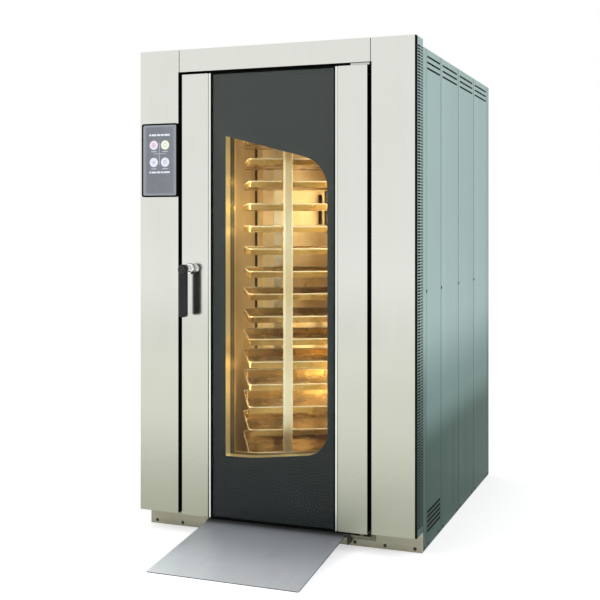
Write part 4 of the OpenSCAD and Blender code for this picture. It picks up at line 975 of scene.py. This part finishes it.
# Painted glow: the screen is painted lighter towards its rim, though the glass itself gives no
# light.
painted_rim_glow = math_node(screen_tree, "MAXIMUM", side_glow, end_glow)
screen_clouds = stretched_noise(screen_tree, (14.0, 14.0, 9.0), 3)
screen_base = mix_colours(screen_tree, screen_clouds, rgb(98, 104, 112), rgb(136, 142, 150))
screen_colour = mix_colours(
    screen_tree, scaled(screen_tree, painted_rim_glow, 0.0, 0.6), screen_base, rgb(176, 180, 190)
)
screen_rough = scaled(screen_tree, screen_clouds, 0.12, 0.22)
finish_surface(screen_tree, screen_shader, screen_colour, screen_rough)
give(screen, "control_screen")


def lit_print(name, colour, strength):
    """A print on the screen that is lit from behind, a little uneven across its face."""
    material, tree, shader = new_material(name, Roughness=0.3)
    glow = stretched_noise(tree, (90.0, 90.0, 90.0), 2)
    dimmer = tuple(c * 0.8 for c in colour[:3]) + (1.0,)
    shade = mix_colours(tree, glow, dimmer, colour)
    tree.links.new(shade, shader.inputs["Base Color"])
    tree.links.new(shade, shader.inputs["Emission Color"])
    shader.inputs["Emission Strength"].default_value = strength
    return material


white_field = lit_print("white_field", rgb(228, 232, 246), 0.2)
rose_field = lit_print("rose_field", rgb(240, 222, 238), 0.2)
ivory_field = lit_print("ivory_field", rgb(240, 243, 224), 0.2)
field_mark = lit_print("field_mark", rgb(160, 154, 180), 0.02)
screen_face = screen_low.y
print_t = 0.0004
field_r = 0.0208
field_rows = (1.7275, 1.6505)
field_columns = (screen_mid.x - 0.0295, screen_mid.x + 0.0275)


def disc(bm, x, z, radius, proud, sides=40):
    """A thin disc with a rounded rim on the screen."""
    turn = facing((x, screen_face, z), (0, -1, 0))
    rim = [(radius, -0.0002), (radius, proud * 0.6), (radius - proud * 0.4, proud)]
    lathe(bm, [*rim, (0, proud)], turn, sides)


def ring(bm, x, z, radius, width, proud):
    """A thin flat ring on a touch field."""
    turn = facing((x, screen_face, z), (0, -1, 0))
    inner, outer = radius - width / 2, radius + width / 2
    lathe(bm, [(outer, 0.0), (outer, proud), (inner, proud), (inner, 0.0)], turn, 36)


def bar(bm, x, z, length, height, proud):
    """A thin upright bar of light on the screen, centred at x and z."""
    add_box(
        bm,
        (x - length / 2, screen_face - proud, z - height / 2),
        (x + length / 2, screen_face + 0.0002, z + height / 2),
        0.00012,
    )


def touch_fields(material, name, places):
    """A piece of its own for all fields of one colour."""
    def build(bm):
        """One disc at each place."""
        for x, z in places:
            disc(bm, x, z, field_r, print_t)

    mesh_piece(name, "oven", material, build)


touch_fields(rose_field, "touch_field_rose", [(field_columns[0], field_rows[0])])
touch_fields(ivory_field, "touch_field_ivory", [(field_columns[1], field_rows[0])])
touch_fields(white_field, "touch_fields_white", [(x, field_rows[1]) for x in field_columns])
sign_r = 0.0085


def field_signs(bm):
    """Generic signs on the fields: a target, dots, waves and a lamp ring."""
    proud = print_t + 0.00015
    left, right = field_columns
    upper, lower = field_rows
    ring(bm, left, upper, sign_r, 0.0016, proud)
    disc(bm, left, upper, 0.0032, proud, 20)
    for k in range(6):
        angle = k * math.pi / 3
        x, z = right + sign_r * math.cos(angle), upper + sign_r * math.sin(angle)
        disc(bm, x, z, 0.0019, proud, 14)
    for k in (-1, 0, 1):
        bar(bm, left, lower + k * 0.006, 0.016 - abs(k) * 0.004, 0.0018, proud)
    ring(bm, right, lower, 0.0070, 0.0018, proud)
    bar(bm, right, lower + 0.0072, 0.0022, 0.008, proud)


mesh_piece("field_signs", "oven", field_mark, field_signs)

bar_rows = [(1.7725, 0.0085), (1.6055, 0.0075)]
bar_steps = [0.009, 0.023, 0.017, 0.014, 0.028]
bar_gap = 0.003
bar_start = screen_mid.x - 0.0520
label_rows = [(1.6985, 0.0022), (1.6215, 0.0022)]
label_w = 0.026
cross_t = 0.0012
cross_w = 0.064
cross_h = 0.100


def light_bars(bm):
    """Two rows of plain bars, and a short dash under each touch field."""
    for z, height in bar_rows:
        x = bar_start
        for length in bar_steps:
            bar(bm, x + length / 2, z, length, height, print_t)
            x += length + bar_gap
    for z, height in label_rows:
        for x in field_columns:
            bar(bm, x, z, label_w, height, print_t)
    # Fine crossing lines between the four fields
    mid_x = sum(field_columns) / 2
    mid_z = sum(field_rows) / 2
    bar(bm, mid_x, mid_z, cross_t, cross_h, print_t)
    bar(bm, mid_x, mid_z, cross_w, cross_t, print_t)


mesh_piece("light_bars", "oven", white_field, light_bars)


# ---- Door ----
# A folded stainless shell with one tall pane of dark glass let in between two bright trims. The
# print on the back of the glass leaves a window free, lined through the door with tinted steel.

side_inset = 0.003
end_inset = 0.004


def door_side_shade_strips(bm):
    """A black strip down each side of the door, where it faces the pillar: painted shade in the
    gap.
    """
    x = (door_high.x, door_high.x + strip_t)
    y = (door_low.y + side_inset, door_high.y - side_inset)
    z = (door_low.z + end_inset, door_high.z - end_inset)
    for side in (-1, 1):
        side_box(bm, side, x, y, z, rubber_edge)


mesh_piece("door_side_shade_strips", "door", rubber, door_side_shade_strips)
plug_low, plug_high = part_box("door_plug")


def door_shade_skirt(bm):
    """A black lip that hangs from the door's rear edge and hides the foot of the plug: painted
    shade under the door.
    """
    low = (plug_low.x, door_high.y - 0.0016, plug_low.z - 0.001)
    high = (plug_high.x, door_high.y - 0.0002, door_low.z + 0.0005)
    add_box(bm, low, high, rubber_edge)


mesh_piece("door_shade_skirt", "door", rubber, door_shade_skirt)
give(rubber, "door_gasket")
# Painted reflection and shade: the hinge brackets are painted light high up and dark near the
# floor.
hinge_steel = brushed_sheet(
    "hinge_steel", foot=rgb(112, 110, 94), middle=rgb(150, 150, 140), top=rgb(214, 216, 214),
    heights=(0.09, 0.5, 1.9), rough=0.4, metal=0.7, fine=(60.0, 400.0, 60.0),
    broad=(8.0, 40.0, 8.0), contrast=0.15, dust=0.1,
)
give(hinge_steel, "hinge_brackets")

door_glass, glass_tree, glass_shader = new_material(
    "tinted_glass", Transmission_Weight=1.0, IOR=1.45, Specular_Tint=(0.12, 0.12, 0.12, 1.0)
)
glass_haze = stretched_noise(glass_tree, (5.0, 5.0, 3.0), 4)
glass_colour = mix_colours(glass_tree, glass_haze, rgb(246, 248, 246), rgb(252, 253, 252))
finish_surface(glass_tree, glass_shader, glass_colour, scaled(glass_tree, glass_haze, 0.0, 0.002))
give(door_glass, "door_glass")

inner_pane, pane_tree, pane_shader = new_material("inner_pane", Specular_IOR_Level=0.3)
pane_haze = stretched_noise(pane_tree, (9.0, 9.0, 4.0), 4)
pane_colour = mix_colours(pane_tree, pane_haze, rgb(8, 7, 5), rgb(22, 18, 12))
finish_surface(pane_tree, pane_shader, pane_colour, scaled(pane_tree, pane_haze, 0.05, 0.15))
pane_tree.links.new(scaled(pane_tree, pane_haze, 0.03, 0.08), pane_shader.inputs["Alpha"])
give(inner_pane, "inner_glass")

glass_print, print_tree, print_shader = new_material("glass_print", Specular_IOR_Level=0.1)
# Painted reflection: the print is painted lighter at the top and darker at the foot, as the glass
# in front of it would mirror the room.
print_reflection_tone = place_group(
    print_tree, painted_height_shading, foot_colour=rgb(40, 46, 47), middle_colour=rgb(64, 70, 68),
    top_colour=rgb(80, 84, 83), foot_height=0.1, middle_height=0.9, top_height=1.9,
)
print_clouds = stretched_noise(print_tree, (14.0, 14.0, 5.0), 3)
print_shade = scaled(print_tree, print_clouds, 0.94, 1.06)
print_colour = scale_colour(print_tree, print_reflection_tone.outputs["Colour"], print_shade)
finish_surface(print_tree, print_shader, print_colour, scaled(print_tree, print_clouds, 0.6, 0.7))
give(glass_print, "glass_mask")
print_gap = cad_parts["glass_mask"].modifiers.new("print_gap", "DISPLACE")
print_gap.strength = -0.0001
print_gap.mid_level = 0.0

# Painted reflection: the trims are painted a little darker towards the foot of the door.
bright_trim = brushed_sheet(
    "bright_trim", foot=rgb(206, 209, 202), middle=rgb(226, 229, 224), top=rgb(240, 242, 238),
    heights=(0.1, 0.7, 1.4), rough=0.16, metal=0.9, fine=(500.0, 500.0, 6.0),
    broad=(30.0, 30.0, 0.8), contrast=0.05, dust=0.0,
)
give(bright_trim, "glass_trims")


# ---- Door handle ----
# The grip is a black moulded bar that hangs from a turned and polished hub on the door. A round
# cap covers the fixing screw, and turning the grip level works the latch behind the door.

hub_low, hub_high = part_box("handle_hub")
cap_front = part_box("handle_grip")[0].y
hub_x = (hub_low.x + hub_high.x) / 2
hub_z = (hub_low.z + hub_high.z) / 2
door_face = door_low.y
hub_profile = [
    (0.0, 0.0), (0.0235, 0.0003), (0.024, 0.001), (0.024, 0.0045), (0.0228, 0.0062),
    (0.0175, 0.0070), (0.0162, 0.0085), (0.0162, 0.0180), (0.0150, 0.0186), (0.0150, 0.0206),
    (0.0162, 0.0212), (0.0162, 0.0290), (0.0150, 0.0296), (0.0150, 0.0316), (0.0165, 0.0322),
    (0.0178, 0.0400), (0.0190, 0.0450), (0.0190, 0.0500), (0.0184, 0.0535), (0.0150, 0.0543),
    (0.0, 0.0543),
]
hub_foot = facing((hub_x, door_face - 0.0003, hub_z), (0, -1, 0))
spindle_r = 0.008


def turned_hub(bm):
    """The hub in front of the door, and its spindle through the door to the latch."""
    lathe(bm, hub_profile, hub_foot, 48)
    spindle = facing((hub_x, hub_high.y, hub_z), (0, -1, 0))
    length = hub_high.y - door_face + 0.001
    rod = [(0, 0), (spindle_r - 0.0006, 0), (spindle_r, 0.0006), (spindle_r, length), (0, length)]
    lathe(bm, rod, spindle, 32)


chrome, chrome_tree, chrome_shader = new_material("handle_metal", Metallic=1.0)
chrome_lines = stretched_noise(chrome_tree, (60.0, 900.0, 60.0), 2)
chrome_colour = mix_colours(chrome_tree, chrome_lines, rgb(232, 232, 230), rgb(252, 252, 250))
chrome_rough = scaled(chrome_tree, chrome_lines, 0.04, 0.1)
finish_surface(chrome_tree, chrome_shader, chrome_colour, chrome_rough)
hub_piece = mesh_piece("turned_hub", "door_handle", chrome, turned_hub)
for face in hub_piece.data.polygons:
    face.use_smooth = True
hub_piece.modifiers.new("crisp_rings", "EDGE_SPLIT").split_angle = math.radians(28)
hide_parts("handle_hub")
ring_places = [(0.0040, 0.0244), (0.0196, 0.0161), (0.0306, 0.0161), (0.0475, 0.0193)]


def hub_reflection_rings(bm):
    """Black rings in the grooves of the hub, each a lathe of its own: painted dark reflections in
    the polished hub.
    """
    half = 0.0019
    for height, radius in ring_places:
        inner, edge = radius - 0.002, radius - 0.0003
        lower = [(inner, height - half), (edge, height - half), (radius, height - half * 0.5)]
        upper = [(radius, height + half * 0.5), (edge, height + half), (inner, height + half)]
        lathe(bm, lower + upper, hub_foot, 36)


mesh_piece("hub_reflection_rings", "door_handle", rubber, hub_reflection_rings)

grip_plastic, grip_tree, grip_shader = new_material("grip_plastic", Specular_IOR_Level=0.35)
grip_grain = stretched_noise(grip_tree, (500.0, 500.0, 500.0), 4)
grip_wear = place_group(grip_tree, handling_marks, size=(30.0, 30.0, 10.0), low=0.45, high=0.7)
grip_base = mix_colours(grip_tree, grip_grain, rgb(10, 10, 11), rgb(22, 22, 24))
grip_colour = mix_colours(
    grip_tree, scaled(grip_tree, grip_wear.outputs["Mask"], 0.0, 0.3), grip_base, rgb(44, 42, 42)
)
grip_rough = scaled(grip_tree, grip_wear.outputs["Mask"], 0.42, 0.26)
finish_surface(grip_tree, grip_shader, grip_colour, grip_rough, grip_grain, 0.0002, 0.25)
give(grip_plastic, "handle_grip")


def grip_cap_rings(bm):
    """Two raised rings and a blind screw plug on the round cap, coloured as a painted reflection.
    """
    turn = facing((hub_x, cap_front, hub_z), (0, -1, 0))
    sunk = -0.001
    lathe(bm, [(0.0168, sunk), (0.0168, 0.0006), (0.0158, 0.0012), (0.0140, 0.0012),
               (0.0132, 0.0002), (0.0132, sunk)], turn, 40)
    lathe(bm, [(0.0082, sunk), (0.0082, 0.0006), (0.0076, 0.0010), (0.0060, 0.0010),
               (0.0056, 0.0), (0.0056, sunk)], turn, 32)
    lathe(bm, [(0.0036, sunk), (0.0036, 0.0004), (0.0028, 0.0008), (0, 0.0008)], turn, 6)


# Painted reflection: the rings' brownish colour stands in for what the cap mirrors.
cap_reflection_paint = painted_metal("cap_reflection_paint", rgb(58, 48, 48), 0.3, 0.3, dust=0.0)
mesh_piece("grip_cap_rings", "door_handle", cap_reflection_paint, grip_cap_rings)


# ---- Trolley ----
# The trolley is welded from stainless angle and square tube. Bent runners carry fifteen trays of
# thin aluminised steel, whose rims are rolled round a wire.

rack_steel = heat_tinted(
    "rack_steel", rgb(255, 248, 214), rgb(242, 218, 160), 0.2, 0.6, (280.0, 280.0, 14.0)
)
give(rack_steel, "rack_frame")
runner_steel = heat_tinted(
    "runner_steel", rgb(204, 166, 92), rgb(144, 108, 52), 0.25, 0.9, (280.0, 280.0, 14.0)
)
give(runner_steel, "tray_runners")
rack_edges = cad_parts["rack_frame"].modifiers.new("rounded_corners", "BEVEL")
rack_edges.width = 0.004
rack_edges.segments = 3
rack_edges.limit_method = "ANGLE"
tray_metal = heat_tinted(
    "tray_metal", rgb(224, 190, 116), rgb(158, 118, 60), 0.25, 0.85, (60.0, 60.0, 200.0)
)
give(tray_metal, "trays")

tray_boxes = islands("trays")
rack_angle = math.radians(27)
tray_half_l = 0.350
tray_half_w = 0.250
tray_corner = 0.025
bead_r = 0.003


def rounded_path(half_l, half_w, corner, steps):
    """Points of a rounded rectangle, anticlockwise."""
    points = []
    for quarter, (sx, sy) in enumerate([(1, 1), (-1, 1), (-1, -1), (1, -1)]):
        for k in range(steps + 1):
            angle = math.pi / 2 * (quarter + k / steps)
            x = sx * (half_l - corner) + corner * math.cos(angle)
            y = sy * (half_w - corner) + corner * math.sin(angle)
            points.append((x, y))
    return points


def tray_beads(bm):
    """The rolled rim of each tray, a closed bead round its upper edge."""
    turn = Matrix.Rotation(rack_angle, 4, "Z")
    path = rounded_path(tray_half_l, tray_half_w, tray_corner, 6)
    sides = 8
    for low, high in tray_boxes:
        rings = []
        for k, (x, y) in enumerate(path):
            before = Vector(path[k - 1])
            after = Vector(path[(k + 1) % len(path)])
            course = (after - before).normalized()
            out = Vector((course.y, -course.x))
            loop = []
            for s in range(sides):
                angle = 2 * math.pi * s / sides
                reach = bead_r * math.cos(angle)
                z = high.z + bead_r * math.sin(angle)
                loop.append(bm.verts.new(turn @ Vector((x + out.x * reach, y + out.y * reach, z))))
            rings.append(loop)
        for k in range(len(rings)):
            near, far = rings[k], rings[(k + 1) % len(rings)]
            for s in range(sides):
                t = (s + 1) % sides
                bm.faces.new([near[s], near[t], far[t], far[s]])


# Painted highlight: the rims get the paler rack steel, a bright line along each tray's upper edge.
bead_piece = mesh_piece("tray_beads", "rack", rack_steel, tray_beads)
for face in bead_piece.data.polygons:
    face.use_smooth = True


# ---- Castors ----
# Zinc-plated steel forks with heat-proof black wheels; two swivel on kingpins and two are welded
# to the trolley.

zinc = heat_tinted(
    "castor_zinc", rgb(182, 184, 180), rgb(150, 150, 142), 0.36, 0.85, (90.0, 90.0, 90.0), 0.2
)
give(zinc, "castor_fork_1", "castor_fork_2")
tread = painted_metal("castor_tread", rgb(36, 35, 34), 0.6, 0.3, dust=0.4)
give(tread, *["castor_wheel_%d" % number for number in range(1, 5)])


# ---- Ramp ----
# A plain plate of 3 mm brushed steel on three knuckles, with thin black strips along its toe and
# sides that are painted shade at its edges. It leads from the floor up to the threshold and lifts a
# little on its rod for cleaning.

ramp_low, ramp_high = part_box("ramp_plate")
ramp_steel, ramp_tree, ramp_shader = new_material(
    "ramp_steel", Metallic=0.45, Specular_Tint=(0.6, 0.6, 0.6, 1.0)
)
# Painted shade and reflection: the plate is painted darker towards the door, where it would mirror
# the dark door and lie in its shade, and lighter on its left side.
ramp_shade_stops = [
    (ramp_low.y, 1.2), (ramp_low.y + 0.16, 1.06), (ramp_high.y - 0.22, 0.72), (ramp_high.y, 0.46),
]
ramp_side_light_stops = [(ramp_low.x, 1.14), (0.0, 1.0), (ramp_high.x, 0.94)]
ramp_shade = band_tone(ramp_tree, "Y", ramp_low.y, ramp_high.y, ramp_shade_stops)
ramp_side_light = band_tone(ramp_tree, "X", ramp_low.x, ramp_high.x, ramp_side_light_stops)
ramp_grain = place_group(
    ramp_tree, brushed_grain, fine_stretch=(500.0, 5.0, 500.0), broad_stretch=(40.0, 0.8, 40.0),
    contrast=0.08,
)
ramp_colour = scale_colour(ramp_tree, rgb(224, 230, 238), ramp_grain.outputs["Tone"])
ramp_colour = scale_colour(ramp_tree, scale_colour(ramp_tree, ramp_colour, ramp_shade), ramp_side_light)
ramp_marks = place_group(ramp_tree, handling_marks, size=(9.0, 9.0, 9.0), low=0.5, high=0.8)
ramp_faint = scaled(ramp_tree, ramp_marks.outputs["Mask"], 0.0, 0.12)
ramp_colour = mix_colours(ramp_tree, ramp_faint, ramp_colour, rgb(150, 150, 148))
ramp_rough = scaled(ramp_tree, ramp_grain.outputs["Roughness"], 0.34, 0.48)
finish_surface(
    ramp_tree, ramp_shader, ramp_colour, ramp_rough, ramp_grain.outputs["Height"], 0.00006, 0.3
)
give(ramp_steel, "ramp_plate")

ramp_t = 0.003
rod_r = 0.005
knuckle_r = rod_r + 0.004
edge_proud = 0.0014
toe_proud = 0.0012
ramp_axis = Vector((0, -0.544, 0.0505))
ramp_reach = 0.574
ramp_tilt = math.asin((ramp_axis.z + knuckle_r - ramp_t) / ramp_reach)


def ramp_shade_edges(bm):
    """Black edge strips along the toe and both sides of the plate, laid in its own slope: painted
    shade at its edges.
    """
    under = knuckle_r - ramp_t + 0.0003
    top = knuckle_r - 0.0006
    side_x = (ramp_high.x - 0.0006, ramp_high.x + edge_proud)
    side_y = (-ramp_reach + 0.004, -0.006)
    for side in (-1, 1):
        side_box(bm, side, side_x, side_y, (under, top), rubber_edge)
    toe_half = ramp_high.x - 0.0010
    toe_y = (-ramp_reach - toe_proud, -ramp_reach + 0.0005)
    add_box(bm, (-toe_half, toe_y[0], under), (toe_half, toe_y[1], top), rubber_edge)
    turn = Matrix.Translation(ramp_axis) @ Matrix.Rotation(ramp_tilt, 4, "X")
    bmesh.ops.transform(bm, matrix=turn, verts=bm.verts)


mesh_piece("ramp_shade_edges", "ramp", rubber, ramp_shade_edges)
